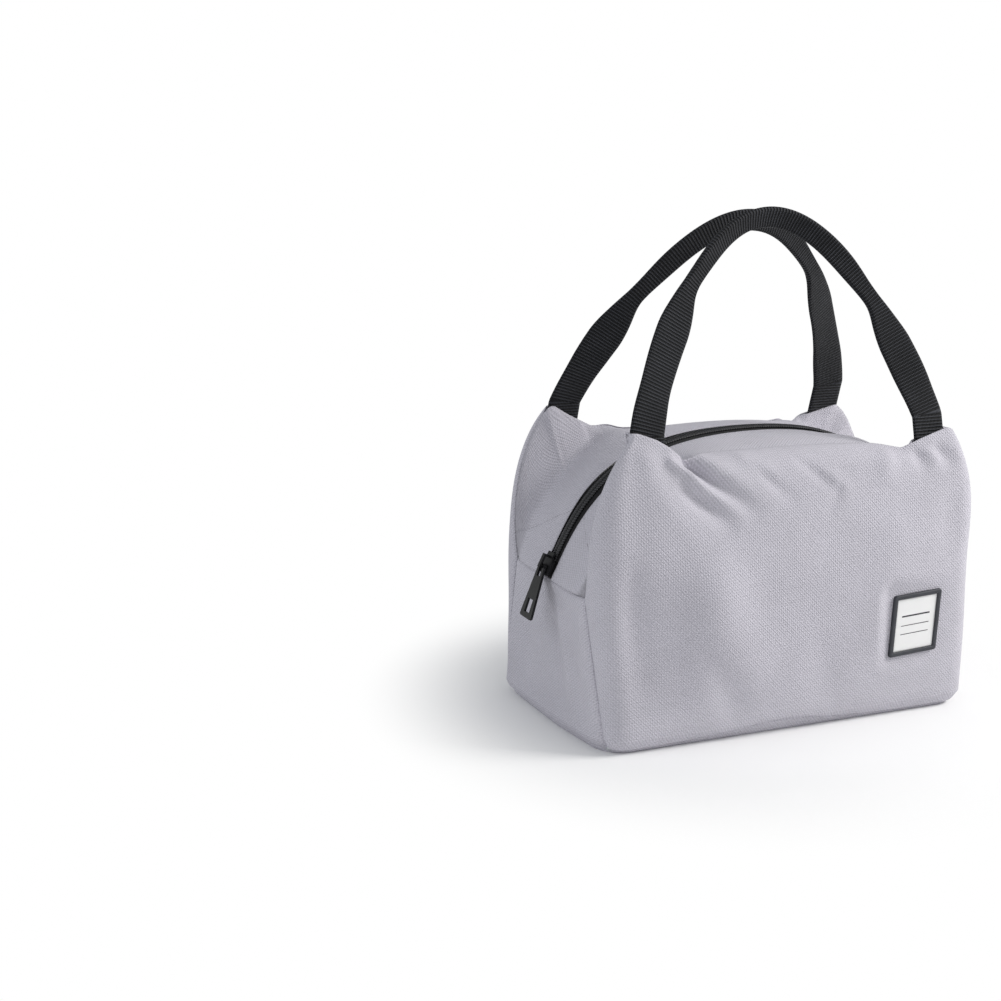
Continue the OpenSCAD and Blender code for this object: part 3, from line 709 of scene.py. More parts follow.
def liner_wall(side, d, rows=34, columns=111):
    """One face of a wall's padded liner at depth d: it follows the wall below
    and ends under the arch."""
    low = np.linspace(FOOT_Z + FABRIC + 4.6, GUSSET_Z, rows // 2)
    top_z = PANEL_Z - (7 if side > 0 else 15)
    up = ZIP_Z + (top_z - ZIP_Z) * (np.arange(1, rows // 2 + 1) / (rows // 2)) ** 1.4
    z = np.concatenate([low, up])[:, None]
    x = zip_half(arch_place(z[:, 0], d), np.full(len(z), float(d)))[:, 0][:, None]
    r = np.maximum(corner(z) - d, 1)
    front = half_w(z) - d - r
    arc = np.where(x < front, x, front + r * np.arcsin(np.clip((x - front) / r, 0, 1)))
    run = np.where(z <= GUSSET_Z, seam_at(z, d), np.minimum(seam_at(z, d), arc))
    u = np.linspace(-1, 1, columns)[None, :]
    s = u * run
    grid = outline(s, z + 0 * u, d)
    normal = facing(turned(grid), (rows // 2, columns // 2, 1), -1)
    quiet = share(np.abs(np.abs(s) - seam_at(z, d)), 2, 14) * share(z, 8, 20)
    shift = np.minimum(wall_relief(s, z + 0 * u, side), 0) * quiet
    top = np.clip((z - PANEL_Z + 26) / 26, 0, 1) ** 2
    grid[..., 1] += 9 * top
    return grid + normal * shift[..., None], np.stack([s, z + 0 * s], -1)


def liner_top(side, d, stop, columns=121, rows=12):
    """One face of the top's padded liner: the zip's arch at depth d, out to the
    wall, and to the fold where the wall is lower than the arch. Between the ears
    it falls as the cloth above it does, in two straight slopes."""
    t = np.linspace(-1, 1, columns)
    p = zip_point(t, float(d))
    z = p[:, 1]
    r = np.maximum(corner(z) - stop, 1)
    over = np.clip(np.abs(p[:, 0]) - half_w(z) + stop + r, 0, r)
    wall = half_d(z) - stop - r + np.sqrt(r * r - over * over)
    uu = np.clip(t / EAR_SHARE, -1, 1)
    b_z = edge_z(uu, side)
    k = np.clip((1 - np.abs(t)) / (1 - EAR_SHARE), 0, 1)
    b_z = np.where(np.abs(t) > EAR_SHARE, ZIP_Z + (b_z - ZIP_Z) * k, b_z)
    b_y = -outline(uu * seam_at(b_z, 0), b_z, 0)[:, 1]
    fold = b_y - FOLD_IN - 1.2 + 120 * np.clip((b_z - zip_point(t, 0.0)[:, 1] - 3) / 3, 0, 1)
    p0 = zip_point(t, FOAM_AT)
    end = np.where(np.abs(p0[:, 0]) > half_w(p0[:, 1]) - 1.6, b_y - 1.4, 200)
    far = np.minimum(np.minimum(wall, fold), end)
    far = far + 1.1 * np.minimum(wall_relief(p[:, 0], z, side), 0)
    w = np.linspace(0, 1, rows)[:, None]
    y = -(TAPE_EDGE + (far - TAPE_EDGE) * w)
    calm = middle(uu) * (np.abs(t) <= EAR_SHARE)
    drop = np.clip(zip_point(t, 0.0)[:, 1] - b_z + 3.5 * middle(uu) + 1.2, 0, None) * calm
    way = np.clip((-y - TAPE_EDGE) / (b_y - 7.8 * middle(uu) - TAPE_EDGE), 0, 1)
    z = z - drop * np.maximum(0.62 * way, 0.384 + 1.62 * (way - 0.62))
    return xyz(p[:, 0], y, z), \
        xyz(t[None, :] * 170, y)


# ---- Straps ----


def strap_path(side, steps=280):
    """Middle line, width direction, thickness direction and fold of a handle. A
    sewn end follows the wall, then the loop is an arch: its half span goes with
    the cosine and its rise with the power 1.8 of the sine, with a slight knee
    where the webbing is first doubled. It leans to the middle, and the strap
    turns about its own line by a smooth step to the top. The fold goes from 0
    in the flat webbing to 1 in the doubled grip."""
    rise = 114.5 if side > 0 else 111.0
    tilt = np.arcsin((-HINGE_Y - TOP_GAP) / HINGE_TO_TOP)
    k = np.linspace(0, 2, steps)
    c, s = np.cos(k * np.pi / 2), np.abs(np.sin(k * np.pi / 2))
    up = rise * s ** 1.8
    sway = 3.0 * share(up, 10, 110)
    knee_up = 70 + 7 * side * np.where(k < 1, 1, -1)
    knee = np.where(k < 1, -1, 1) * 1.3 * np.exp(-(((up - knee_up) / 10) ** 2))
    loop = np.stack([sway + knee - HANDLE_X * c, HINGE_Y + up * np.sin(tilt),
                     HINGE_Z + up * np.cos(tilt)], -1)
    plane = np.array([0, np.cos(tilt), -np.sin(tilt)])
    tangent = unit(np.gradient(loop, axis=0))
    level = np.stack([np.where(k < 1, -1.0, 1.0), 0 * k, 0 * k], -1)
    e = unit(level + (-np.cross(plane, tangent) - level) * np.clip(up / 16, 0, 1)[:, None])
    h = np.minimum(k, 2 - k)[:, None]
    turn = np.radians(31) * h * h * (3 - 2 * h) \
        + 0.16 * np.sin(up / 17 + side)[:, None] * share(up, 8, 30)[:, None]
    across = e * np.cos(turn) - plane * np.sin(turn)
    z = np.linspace(TAB_LOW, TAB_HIGH, TAB_ROWS)
    tab = xyz(-HANDLE_X, TAB_DEPTH - (HALF_D - LEAN_Y * lean(z) ** 2), z)
    rest = np.repeat([[-1.0, 0, 0]], TAB_ROWS, 0)
    path = np.concatenate([tab, loop[1:-1], tab[::-1] * np.array([-1, 1, 1])])
    across = np.concatenate([rest, across[1:-1], -rest])
    doubled = share(up - knee_up, -24, 4) * (1 + 0.3 * np.exp(-(((up - knee_up - 6) / 12) ** 2)))
    fold = np.pad(doubled[1:-1], TAB_ROWS)
    path = smoothed(path, 3)
    tangent = unit(np.gradient(path, axis=0))
    across = upright(across, tangent)
    return path, across, np.cross(tangent, across), fold


def strap(name, side, material):
    """A handle: a flat rounded section carried along the strap's path. The
    section is a rectangle with half-round edges and a faint hollow in its face,
    and it grows narrower and thicker with the fold."""
    path, across, out, fold = strap_path(side)
    n = 13
    w = np.linspace(-1, 1, n)
    edge = np.sqrt(np.clip(1 - np.clip((np.abs(w) - 0.9) / 0.1, 0, 1) ** 2, 0, 1))
    half = WEB_T / 2 * (0.30 + 0.70 * edge) * (1 - 0.08 * np.cos(w * np.pi / 2) ** 4)
    wide = np.concatenate([w, w[::-1]])[None, :] * (WEB_W + (GRIP_W - WEB_W) * fold[:, None]) / 2
    high = np.concatenate([half, -half[::-1]])[None, :] * (1 + 1.2 * fold[:, None])
    rings = path[:, None] + across[:, None] * wide[..., None] + out[:, None] * high[..., None]
    uv = xyz(wide + 30, run_along(path)[:, None])
    return put(name, *tube_mesh(mirrored(rings, side)), "webbing", None, uv, material)


# ---- Stitches ----


def stitches(name, path, out, material, length, radius, pitch, sink):
    """A row of stitches: short six-ringed capsules set a pitch apart along a
    path, each lying in the direction of the path there."""
    run = run_along(path)
    at = np.arange(pitch, run[-1] - pitch, pitch)
    p, q, n = (np.stack([np.interp(place, run, line[:, a]) for a in range(3)], -1)
               for place, line in ((at, path), (at + 0.8, path), (at, out)))
    t = unit(q - p)
    n = upright(n, t)
    b = np.cross(t, n)
    x = np.array([-0.5, -0.42, -0.2, 0.2, 0.42, 0.5]) * length
    r = np.array([0.25, 0.8, 1, 1, 0.8, 0.25]) * radius
    drop = np.array([-0.8, -0.3, 0.1, 0.1, -0.3, -0.8]) * radius
    a = np.arange(6) * np.pi / 3
    shape = (x[None, :, None, None] * t[:, None, None, :]
             + (r[None, :, None, None] * np.cos(a)[None, None, :, None]
                + drop[None, :, None, None] - sink) * n[:, None, None, :]
             + r[None, :, None, None] * np.sin(a)[None, None, :, None] * b[:, None, None, :])
    grid = p[:, None, None, :] + shape
    one, quads = tube_mesh(grid[0])
    many = (quads[None] + np.arange(len(at))[:, None, None] * len(one)).reshape(-1, 4)
    return put(name, grid, many, "outer_fabric", None, None, material)


# ---- Materials ----


def add(tree, kind, inputs=None, **props):
    """A shader node, with its settings, its values and its links."""
    node = tree.nodes.new(kind)
    for key, value in props.items():
        setattr(node, key, value)
    for key, value in (inputs or {}).items():
        if isinstance(value, bpy.types.NodeSocket):
            tree.links.new(value, node.inputs[key])
        else:
            node.inputs[key].default_value = value
    return node


def new_material(name, roughness, in_object=False, **sockets):
    """A material with one Principled shader, whose constants are on its
    sockets, and the coordinates it reads: the piece's map or its object space."""
    mat = bpy.data.materials.new(name)
    mat.use_nodes = True
    tree = mat.node_tree
    shader = tree.nodes["Principled BSDF"]
    shader.inputs["Roughness"].default_value = roughness
    for key, value in sockets.items():
        shader.inputs[key.replace("_", " ")].default_value = value
    where = add(tree, "ShaderNodeTexCoord").outputs["Object"] if in_object \
        else add(tree, "ShaderNodeUVMap").outputs[0]
    return mat, tree, shader, where


def tones(tree, shader, factor, colour_now, low, high):
    """Colour that goes from low to high times the plain colour with the factor."""
    rgb = np.array(colour_now)
    mix = add(tree, "ShaderNodeMix", {0: factor}, data_type="RGBA")
    mix.inputs[6].default_value = (*np.clip(rgb * low, 0, 1), 1)
    mix.inputs[7].default_value = (*np.clip(rgb * high, 0, 1), 1)
    tree.links.new(mix.outputs[2], shader.inputs["Base Color"])


def bump(tree, shader, height, distance):
    """Relief from a height, in metres."""
    node = add(tree, "ShaderNodeBump", {"Height": height, "Distance": distance})
    tree.links.new(node.outputs[0], shader.inputs["Normal"])


def wave(tree, vector, period, direction, distortion=0.0):
    """Bands with a period in the vector's units; a wave's scale is 0.314 over it."""
    return add(tree, "ShaderNodeTexWave",
               {"Vector": vector, "Scale": 0.31416 / period, "Distortion": distortion,
                "Detail": 2.0, "Detail Scale": 1.5}, wave_type="BANDS",
               bands_direction=direction, wave_profile="SIN").outputs["Fac"]


def noise(tree, vector, scale, detail=3.0, rough=0.5):
    """Cloudy values between 0 and 1."""
    return add(tree, "ShaderNodeTexNoise", {"Vector": vector, "Scale": scale, "Detail": detail,
                                            "Roughness": rough}).outputs["Fac"]


def maths(tree, operation, a, b=0.0, c=0.0):
    """One sum on two or three values."""
    return add(tree, "ShaderNodeMath", {0: a, 1: b, 2: c}, operation=operation).outputs[0]


def times(tree, a, b):
    """a times b."""
    return maths(tree, "MULTIPLY", a, b)


def plus(tree, a, b):
    """a plus b."""
    return maths(tree, "ADD", a, b)


def times_plus(tree, a, b, c):
    """a times b, plus c."""
    return maths(tree, "MULTIPLY_ADD", a, b, c)


def fabric(name, rgb, thread=0.0135, grain=0.00032, tone=(0.58, 1.3), sheen=0.08):
    """Woven cloth: 0.6 of the product of warp and weft bands and 0.4 of a twill
    line, with slow cloudiness and slubs. The grain is the relief in metres."""
    mat, tree, shader, uv = new_material(name, 0.86, Sheen_Weight=sheen, Sheen_Roughness=0.5,
                                         Specular_IOR_Level=0.25)
    warp = wave(tree, uv, thread, "X", 0.9)
    weft = wave(tree, uv, thread, "Y", 1.1)
    twill = wave(tree, uv, thread * 0.75, "DIAGONAL", 1.0)
    cross = times(tree, warp, weft)
    weave = plus(tree, times(tree, cross, 0.6),
                  times(tree, twill, 0.4))
    slub = noise(tree, uv, 90.0, 2.0)
    cloud = noise(tree, uv, 2.6, 4.0, 0.55)
    height = times_plus(tree, slub, 0.5, weave)
    factor = plus(tree, times(tree, weave, 0.45),
                   times(tree, plus(tree, cloud, slub), 0.28))
    tones(tree, shader, factor, rgb, *tone)
    bump(tree, shader, height, grain)
    return mat


def foil(name, rgb):
    """Foil film, quilted in squares and finely crinkled."""
    mat, tree, shader, uv = new_material(name, 0.36, Metallic=0.4)
    quilt = times(tree, wave(tree, uv, 0.12, "X"), wave(tree, uv, 0.12, "Y"))
    crinkle = noise(tree, uv, 26.0, 6.0, 0.65)
    tones(tree, shader, crinkle, rgb, 0.82, 1.15)
    bump(tree, shader, times_plus(tree, crinkle, 0.35, quilt), 0.0011)
    return mat


def foam(name):
    """Closed-cell foam."""
    mat, tree, shader, uv = new_material(name, 0.9)
    cells = add(tree, "ShaderNodeTexVoronoi", {"Vector": uv, "Scale": 110.0}).outputs["Distance"]
    tones(tree, shader, cells, (0.86, 0.86, 0.83), 0.85, 1.05)
    bump(tree, shader, cells, 0.0003)
    return mat


def webbing(name, rgb, rib):
    """Ribbed webbing: ribs across its length, fine threads along it, and a
    painted highlight on the top of each rib, stronger or fainter in random patches."""
    mat, tree, shader, uv = new_material(name, 0.66, Sheen_Weight=0.03, Sheen_Roughness=0.4,
                                         Specular_IOR_Level=0.2)
    ribs = wave(tree, uv, rib / 100, "Y", 0.25)
    threads = wave(tree, uv, 0.0095, "X", 0.5)
    patches = noise(tree, uv, 5.0, 4.0)
    height = times_plus(tree, threads, 0.3, ribs)
    painted_rib_highlight = maths(tree, "POWER", ribs, 4.0)
    factor = times(tree, times_plus(tree, threads, 0.25, painted_rib_highlight),
                   plus(tree, patches, 0.2))
    # painted highlight: the tops of the ribs go up to seven times paler than the dark ground
    tones(tree, shader, factor, rgb, 0.15, 7.0)
    bump(tree, shader, height, 0.0006)
    return mat


def nylon(name, rgb, pitch):
    """Black nylon coil: a painted highlight on the top of each tooth and painted
    shade in the grooves between the teeth, with faint random scuffs.
    """
    mat, tree, shader, uv = new_material(name, 0.42, Specular_IOR_Level=0.4)
    teeth = maths(tree, "POWER", wave(tree, uv, pitch, "Y"), 2.0)
    scuff = noise(tree, uv, 90.0, 3.0)
    # painted highlight on the tops of the teeth and painted shade in the grooves: 0.4 to 7 times
    # the coil's colour
    tones(tree, shader, times(tree, teeth, plus(tree, scuff, 0.4)),
          rgb, 0.4, 7.0)
    bump(tree, shader, times_plus(tree, scuff, 0.2, teeth), 0.0002)
    return mat


def lacquer(name, rgb):
    """Black lacquer over cast metal, rubbed paler in places."""
    mat, tree, shader, where = new_material(name, 0.4, True, Specular_IOR_Level=0.22,
                                            Coat_Weight=0.12, Coat_Roughness=0.16)
    cast = noise(tree, where, 420.0, 4.0)
    worn = noise(tree, where, 90.0, 5.0, 0.7)
    tones(tree, shader, maths(tree, "POWER", worn, 2.0), rgb, 0.5, 2.4)
    bump(tree, shader, cast, 0.00006)
    return mat


def rubber(name, rgb):
    """Moulded rubber with a fine matt grain."""
    mat, tree, shader, where = new_material(name, 0.52, True, Specular_IOR_Level=0.4)
    grain = noise(tree, where, 1400.0, 3.0)
    dust = noise(tree, where, 60.0, 4.0)
    tones(tree, shader, dust, rgb, 0.75, 1.6)
    bump(tree, shader, grain, 0.00005)
    return mat


def printed(name, rgb):
    """White moulded face, with three ruled lines in place of a name."""
    mat, tree, shader, uv = new_material(name, 0.5)
    part = add(tree, "ShaderNodeSeparateXYZ", {0: uv})
    x, y = part.outputs[0], part.outputs[1]

    def bar(value, centre, half):
        """1 where the value is within half of the centre, else 0."""
        return maths(tree, "LESS_THAN",
                     maths(tree, "ABSOLUTE", maths(tree, "SUBTRACT", value, centre)), half)

    inside = times(tree, bar(x, 0.0, 0.094), bar(y, 0.0, 0.12))
    lines = bar(y, 0.05, 0.0045)
    for centre in (-0.005, -0.055):
        lines = maths(tree, "MAXIMUM", lines, bar(y, centre, 0.0022))
    ink = times(tree, inside, lines)
    grain = noise(tree, uv, 60.0, 4.0)
    mix = add(tree, "ShaderNodeMix", {0: ink}, data_type="RGBA")
    mix.inputs[6].default_value = (*rgb, 1)
    mix.inputs[7].default_value = (0.03, 0.03, 0.035, 1)
    tree.links.new(mix.outputs[2], shader.inputs["Base Color"])
    bump(tree, shader, times_plus(tree, ink, 1.0, times(tree, grain, 0.2)),
         0.0002)
    return mat


def cloth_material():
    """The outer fabric's material, made at its first use."""
    return bpy.data.materials.get("lavender_grey_cloth") or fabric(
        "lavender_grey_cloth", bpy.context.scene.bag_body.cloth)


# ---- Operators: the body ----


class BAG_OT_body(Operator):
    """Builds the cloth body: the front and back with their ears, the two sides
    and the base"""

    bl_idname = "bag.body"
    bl_label = "Cloth body"

    def execute(self, context):
        cloth = cloth_material()
        for side, name in SIDES:
            grid, normal, uv, _ = wall_surface(side)
            inner = thick(grid, normal, FABRIC)
            piece = put_sheet(f"{name}_cloth", grid, inner, uv, "outer_fabric", "root",
                              cloth, side)
            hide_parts(f"{name}_panel")
        for side, name in ENDS:
            flip = np.array([side, 1, 1])
            grid, uv = gusset_surface(0.0)
            inner = grid - np.array([1, 0, 0]) * 0.9
            grid, inner = grid * flip, inner * flip
            piece = put_sheet(f"{name}_cloth", grid, inner, uv, "outer_fabric", "root", cloth)
            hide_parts(f"{name}_gusset")
        r = np.linspace(0, 1, 26)[:, None]
        s = np.linspace(-1, 1, 240)[None, :]
        r0 = corner(0.0)
        half_round = 2 * (half_w(0.0) - r0) + r0 * np.pi + 2 * (half_d(0.0) - r0)
        ring = base_ring(s[0] * half_round, 0.0)
        grid = ring[None] * np.stack([r, r, 0 * r], -1)
        for z in (0.35, 0.8, 1.3):
            grid = np.concatenate([grid, base_ring(s[0] * half_round, z)[None]])
        grid = grid[1:]
        uv = grid[..., :2]
        inner = grid + np.array([0, 0, 0.9])
        inner[-3:, :, :2] *= 0.992
        piece = put_sheet("base_cloth", grid, inner, uv, "outer_fabric", "root", cloth)
        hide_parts("base_panel")
        return {"FINISHED"}


def base_ring(s, z):
    """The closed outline at height z, by its share of the way round: the front
    half from the outline itself, and the back half its mirror image."""
    r = corner(z)
    quarter = half_w(z) - r + r * np.pi / 2 + half_d(z) - r
    t = s / np.abs(s).max() * 2 * quarter
    front = np.abs(t) <= quarter
    fold = np.where(front, t, np.sign(t) * (2 * quarter - np.abs(t)))
    p = outline(fold, z + 0 * fold, 0.25)
    p[..., 1] = np.where(front, p[..., 1], -p[..., 1])
    return p


def split_blend(piece, side, ahead=0.0):
    """Two pieces from one, cut on the plane where the weight across the rim and
    the weight up the zip are equal, with each cut closed. For a layer that lies
    under another, the cut plane is moved ahead, in metres."""
    y0, y1 = (-0.045 - ahead) * side, (-0.012 - ahead) * side
    z0, z1 = RIM_LOW - ahead / 3, RIM_HIGH - ahead / 3
    a = Vector((0, 1 / (y1 - y0), 0))
    b = Vector((0, 0, 1 / (z1 - z0)))
    through = Vector((0, y0, z0))
    parts = []
    for keep, tail in ((1, ""), (-1, "_foot")):
        mesh = piece.data if keep == -1 else piece.data.copy()
        bm = bmesh.new()
        bm.from_mesh(mesh)
        geometry = bm.verts[:] + bm.edges[:] + bm.faces[:]
        bmesh.ops.bisect_plane(bm, geom=geometry, dist=1e-6, plane_co=through,
                               plane_no=(a - b) * keep, clear_outer=True)
        bmesh.ops.holes_fill(bm, edges=[e for e in bm.edges if e.is_boundary], sides=0)
        bm.to_mesh(mesh)
        bm.free()
        part = link(piece.name + tail, mesh)
        part["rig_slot"] = piece["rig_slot"]
        parts.append(part)
    name = piece.name
    bpy.data.objects.remove(piece)
    parts[0].name = name
    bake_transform(parts[0])
    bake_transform(parts[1])
    return parts


class BAG_OT_top(Operator):
    """Builds the two halves of the top, from the zip out to the walls and up
    the backs of the ears"""

    bl_idname = "bag.top"
    bl_label = "Top halves"

    def execute(self, context):
        cloth = cloth_material()
        for side, name in SIDES:
            grid, normal, uv = top_surface(side)
            inner = thick(grid, normal, FABRIC * 0.9)
            piece = put_sheet(f"{name}_top_cloth", grid, inner, uv, "outer_fabric", None,
                              cloth, side)
            parts = split_blend(piece, side)
            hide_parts(f"{name}_top_panel")
        return {"FINISHED"}


# ---- Operators: the liners ----


def liner(name, outer, inner, uv, body, side=1):
    """A padded liner, mirrored for the back: foam outside, foil inside, closed
    round its edge."""
    foil_now = bpy.data.materials.get("foil_lining") or foil("foil_lining",
                                                            bpy.context.scene.bag_body.foil)
    foam_now = bpy.data.materials.get("foam_sheet") or foam("foam_sheet")
    piece = put_sheet(name, outer, inner, uv, "lining", body, foil_now, side)
    piece.data.materials.append(foam_now)
    n, m = outer.shape[:2]
    index = np.zeros(len(piece.data.polygons), int)
    index[: (n - 1) * (m - 1)] = 1
    piece.data.polygons.foreach_set("material_index", index)
    return piece


class BAG_OT_liners(Operator):
    """Builds the padded liners: foam sheet with foil film on its inner face"""

    bl_idname = "bag.liners"
    bl_label = "Padded liners"

    def execute(self, context):
        for side, name in SIDES:
            outer, uv = liner_wall(side, FOAM_AT + 0.3)
            inner, _ = liner_wall(side, INNER_AT)
            piece = liner(f"{name}_liner", outer, inner, uv, "root", side)
            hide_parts(f"{name}_foam", f"{name}_lining")
        for side, name in ENDS:
            flip = np.array([side, 1, 1])
            rows = np.linspace(FOOT_Z - 0.4, GUSSET_Z, 30)
            outer, uv = gusset_surface(FOAM_AT + 0.2, rows, 60)
            inner, _ = gusset_surface(INNER_AT, rows, 60)
            for grid in (outer, inner):
                grid[..., 2] = np.maximum(grid[..., 2], FOOT_Z + 5.6)
                grid[..., 1] *= 0.97
            piece = liner(f"{name}_liner", outer * flip, inner * flip, uv, "root")
            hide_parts(f"{name}_foam", f"{name}_lining")
        u = np.linspace(-1, 1, 90)[:, None]
        v = np.linspace(-1, 1, 50)[None, :]
        x = u * (HALF_W - 7)
        y = v * (HALF_D - 7)
        pad = 0.6 * np.sin((u + 1) * 5 * np.pi) * np.sin((v + 1) * 2.5 * np.pi)
        outer = xyz(x, y, 1.6 + 0 * pad)
        inner = xyz(x, y, 5.2 + pad)
        piece = liner("base_liner", outer, inner, outer[..., :2], "root")
        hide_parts("base_foam", "base_lining")
        for side, name in SIDES:
            outer, uv = liner_top(side, FOAM_AT + 0.3, FOAM_AT + 2)
            inner, _ = liner_top(side, INNER_AT, INNER_AT + 1)
            piece = liner(f"{name}_top_liner", outer, inner, uv, None, side)
            parts = split_blend(piece, side, LINER_AHEAD)
            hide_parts(f"{name}_top_foam", f"{name}_top_lining")
        return {"FINISHED"}


# ---- Operators: the zip ----


def bend_with_rim(piece):
    """Bakes the piece's placement into its mesh."""
    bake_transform(piece)


def zip_frame(m):
    """Points and outward normals along the zip at places m."""
    p2 = zip_point(m, 0.0)
    e = 1e-4
    t2 = unit(zip_point(np.clip(m + e, -1, 1), 0.0) - zip_point(np.clip(m - e, -1, 1), 0.0))
    return xyz(p2[:, 0], 0 * m, p2[:, 1]), xyz(-t2[:, 1], 0 * m, t2[:, 0])


class BAG_OT_zip(Operator):
    """Builds the zip: two woven tapes, two nylon coils whose slanting ridges
    mesh, and the rows of stitches beside them"""

    bl_idname = "bag.zip"
    bl_label = "Zip"

    def execute(self, context):
        s = context.scene.bag_zip
        tape = fabric("zip_tape_weave", s.tape, 0.0085, 0.00015, (0.7, 1.7), 0.1)
        coil = nylon("nylon_coil", s.coil, s.coil_pitch * 10)
        thread = fabric("stitch_thread", tuple(0.86 * c for c in context.scene.bag_body.cloth),
                        0.004, 0.0001, (0.9, 1.1))
        pitch = s.coil_pitch * 1000
        m, run, whole = zip_course(0.5, 0.5, 1.6)
        p, n = zip_frame(m)
        for side, name in SIDES:
            w = np.array([-9.0, -8.2, -7.2, -6.0, -4.6, -3.2, -2.0, -1.2])
            lift = np.array([-1.3, -1.25, -1.2, -1.15, -0.8, -0.5, -0.35, -0.35])
            grid = p[:, None] + w[None, :, None] * np.array([0, 1, 0]) \
                + lift[None, :, None] * n[:, None]
            under = grid - n[:, None] * 0.5
            uv = xyz(w[None, :], run[:, None])
            piece = put_sheet(f"{name}_tape", grid, under, uv, "zip_tape", None, tape, side)
            bend_with_rim(piece)
            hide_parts(f"{name}_zip_tape")
        step = pitch / 6
        m2, run2, _ = zip_course(5.5, 3.0, step)
        part = share(17.5 - (whole - run2), 0, 3)[:, None]
        p2, n2 = zip_frame(m2)
        a = np.linspace(0, 2 * np.pi, 12, endpoint=False)
        for side, name, end in ((1, "front", "left_zip_end"), (-1, "back", "right_zip_end")):
            slant = 0.9 * np.cos(a)[None, :] * side
            phase = 2 * np.pi * (run2[:, None] / pitch + 0.25 * side + slant * 0.35)
            r = 1 + 0.24 * np.sin(phase)
            y = -1.55 - 0.6 * part + (1.38 - 0.2 * part) * np.cos(a) * (0.94 + 0.06 * r)
            up = 0.3 + 0.88 * np.sin(a) * r
            rings = p2[:, None] + y[..., None] * np.array([0, 1, 0]) + up[..., None] * n2[:, None]
            uv = xyz(y + 5, run2[:, None] + slant)
            piece = put(f"{name}_coil", *tube_mesh(mirrored(rings, side)), "zip_coil", None,
                        uv, coil)
            bend_with_rim(piece)
            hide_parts(f"{name}_zip_coil", end)
        for side, name in SIDES:
            grid, normal, _ = top_surface(side)
            y = -grid[..., 1]
            across = np.arange(grid.shape[1])
            for k, away in enumerate(STITCH_ROWS):
                row = np.clip(away / np.maximum(y[1] - y[0], 0.1), 0, 10)
                low = row.astype(int)
                path = grid[low, across] + (grid[low + 1, across] - grid[low, across]) \
                    * (row - low)[:, None]
                piece = stitches(f"{name}_zip_stitches_{k + 1}", mirrored(path, side),
                                 mirrored(normal[low, across], side), thread, 2.2, 0.2,
                                 context.scene.bag_body.stitch_pitch * 1000, 0.1)
                bend_with_rim(piece)
        return {"FINISHED"}


class BAG_OT_slider(Operator):
    """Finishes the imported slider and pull: lacquer, and rounded edges"""

    bl_idname = "bag.slider"
    bl_label = "Slider and pull"

    def execute(self, context):
        black = lacquer("black_lacquer", context.scene.bag_zip.lacquer)
        for name in ("zip_slider", "zip_pull"):
            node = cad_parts[name]
            node.data.materials.clear()
            node.data.materials.append(black)
            weld = node.modifiers.new("weld", "WELD")
            weld.merge_threshold = 0.00001
            bevel = node.modifiers.new("edges", "BEVEL")
            bevel.width = 0.00028
            bevel.segments = 2
            bevel.limit_method = "ANGLE"
            bevel.angle_limit = np.radians(35)
        return {"FINISHED"}


class BAG_OT_handles(Operator):
    """Builds the two webbing handles, each one strap from its sewn end at the
    left, over its loop, to its sewn end at the right"""

    bl_idname = "bag.handles"
    bl_label = "Handles"

    def execute(self, context):
        s = context.scene.bag_handles
        web = webbing("ribbed_webbing", s.webbing, s.rib_pitch * 1000)
        for side, name in SIDES:
            piece = strap(f"{name}_strap", side, web)
            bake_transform(piece)
            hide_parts(f"{name}_handle", f"{name}_handle_ends")
        return {"FINISHED"}


class BAG_OT_plate(Operator):
    """Builds the name plate: a moulded rubber rim round a white face"""

    bl_idname = "bag.plate"
    bl_label = "Name plate"

    def execute(self, context):
        s = context.scene.bag_plate
        low, high = node_box("plate_frame")
        centre = (low + high) / 2
        half = (high - low)[[0, 2]] / 2
        front = -HALF_D - PLATE_STAND
        turn = s.tilt
        rim = 2.6

        def ring(inset, radius, y, count=64):
            """A rounded rectangle: each corner a quarter circle, the corners
            joined by straight sides."""
            a = np.linspace(0, 2 * np.pi, count, endpoint=False) + np.pi / count
            hx, hz = half[0] - inset, half[1] - inset
            r = min(radius, hx, hz)
            x = np.sign(np.cos(a)) * (hx - r) + r * np.cos(a)
            z = np.sign(np.sin(a)) * (hz - r) + r * np.sin(a)
            xx = centre[0] - 3 + x * np.cos(turn) - z * np.sin(turn) + 0.04 * z
            zz = centre[2] + 3 + x * np.sin(turn) + z * np.cos(turn) + 0.04 * x
            return np.stack([xx, np.full(count, y), zz], -1), np.stack([x, z], -1)

        profile = ((0.0, 1.6, 0.35), (0.0, 1.6, -1.15), (0.12, 1.5, -1.5), (0.5, 1.3, -1.75),
                   (1.0, 1.0, -1.82), (rim - 1.0, 0.7, -1.82), (rim - 0.5, 0.6, -1.75),
                   (rim - 0.12, 0.5, -1.5), (rim, 0.5, -0.6), (rim + 0.4, 0.5, 0.2))
        rings = np.stack([ring(i, r, front + y)[0] for i, r, y in profile])
        n, m = rings.shape[:2]
        index = np.arange(n * m).reshape(n, m)
        index = np.concatenate([index, index[:1]])
        index = np.concatenate([index, index[:, :1]], 1)
        piece = put("name_plate_rim", rings, grid_quads(index), "plate_rim", "root", None,
                    rubber("moulded_rubber", s.rubber))
        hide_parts("plate_frame")
        steps = np.array([1.0, 0.995, 0.93, 0.8, 0.6, 0.4, 0.2, 0.02])
        edge, flat = ring(rim + 0.05, 0.5, front - 0.75)
        mid = edge.mean(0)
        front_face = mid + (edge[None] - mid) * steps[:, None, None]
        front_face[1:, :, 1] -= 0.12
        back_face = front_face[::-1] + np.array([0, 0.8, 0])
        uv = flat[None] * steps[:, None, None]
        rings = np.concatenate([back_face, front_face])
        uv = np.concatenate([uv[::-1], uv])
        piece = put("name_plate_face", *tube_mesh(rings), "plate_face", "root", uv,
                    printed("white_face", s.face))
        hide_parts("plate_face")
        return {"FINISHED"}


# ---- Operator: the stage ----


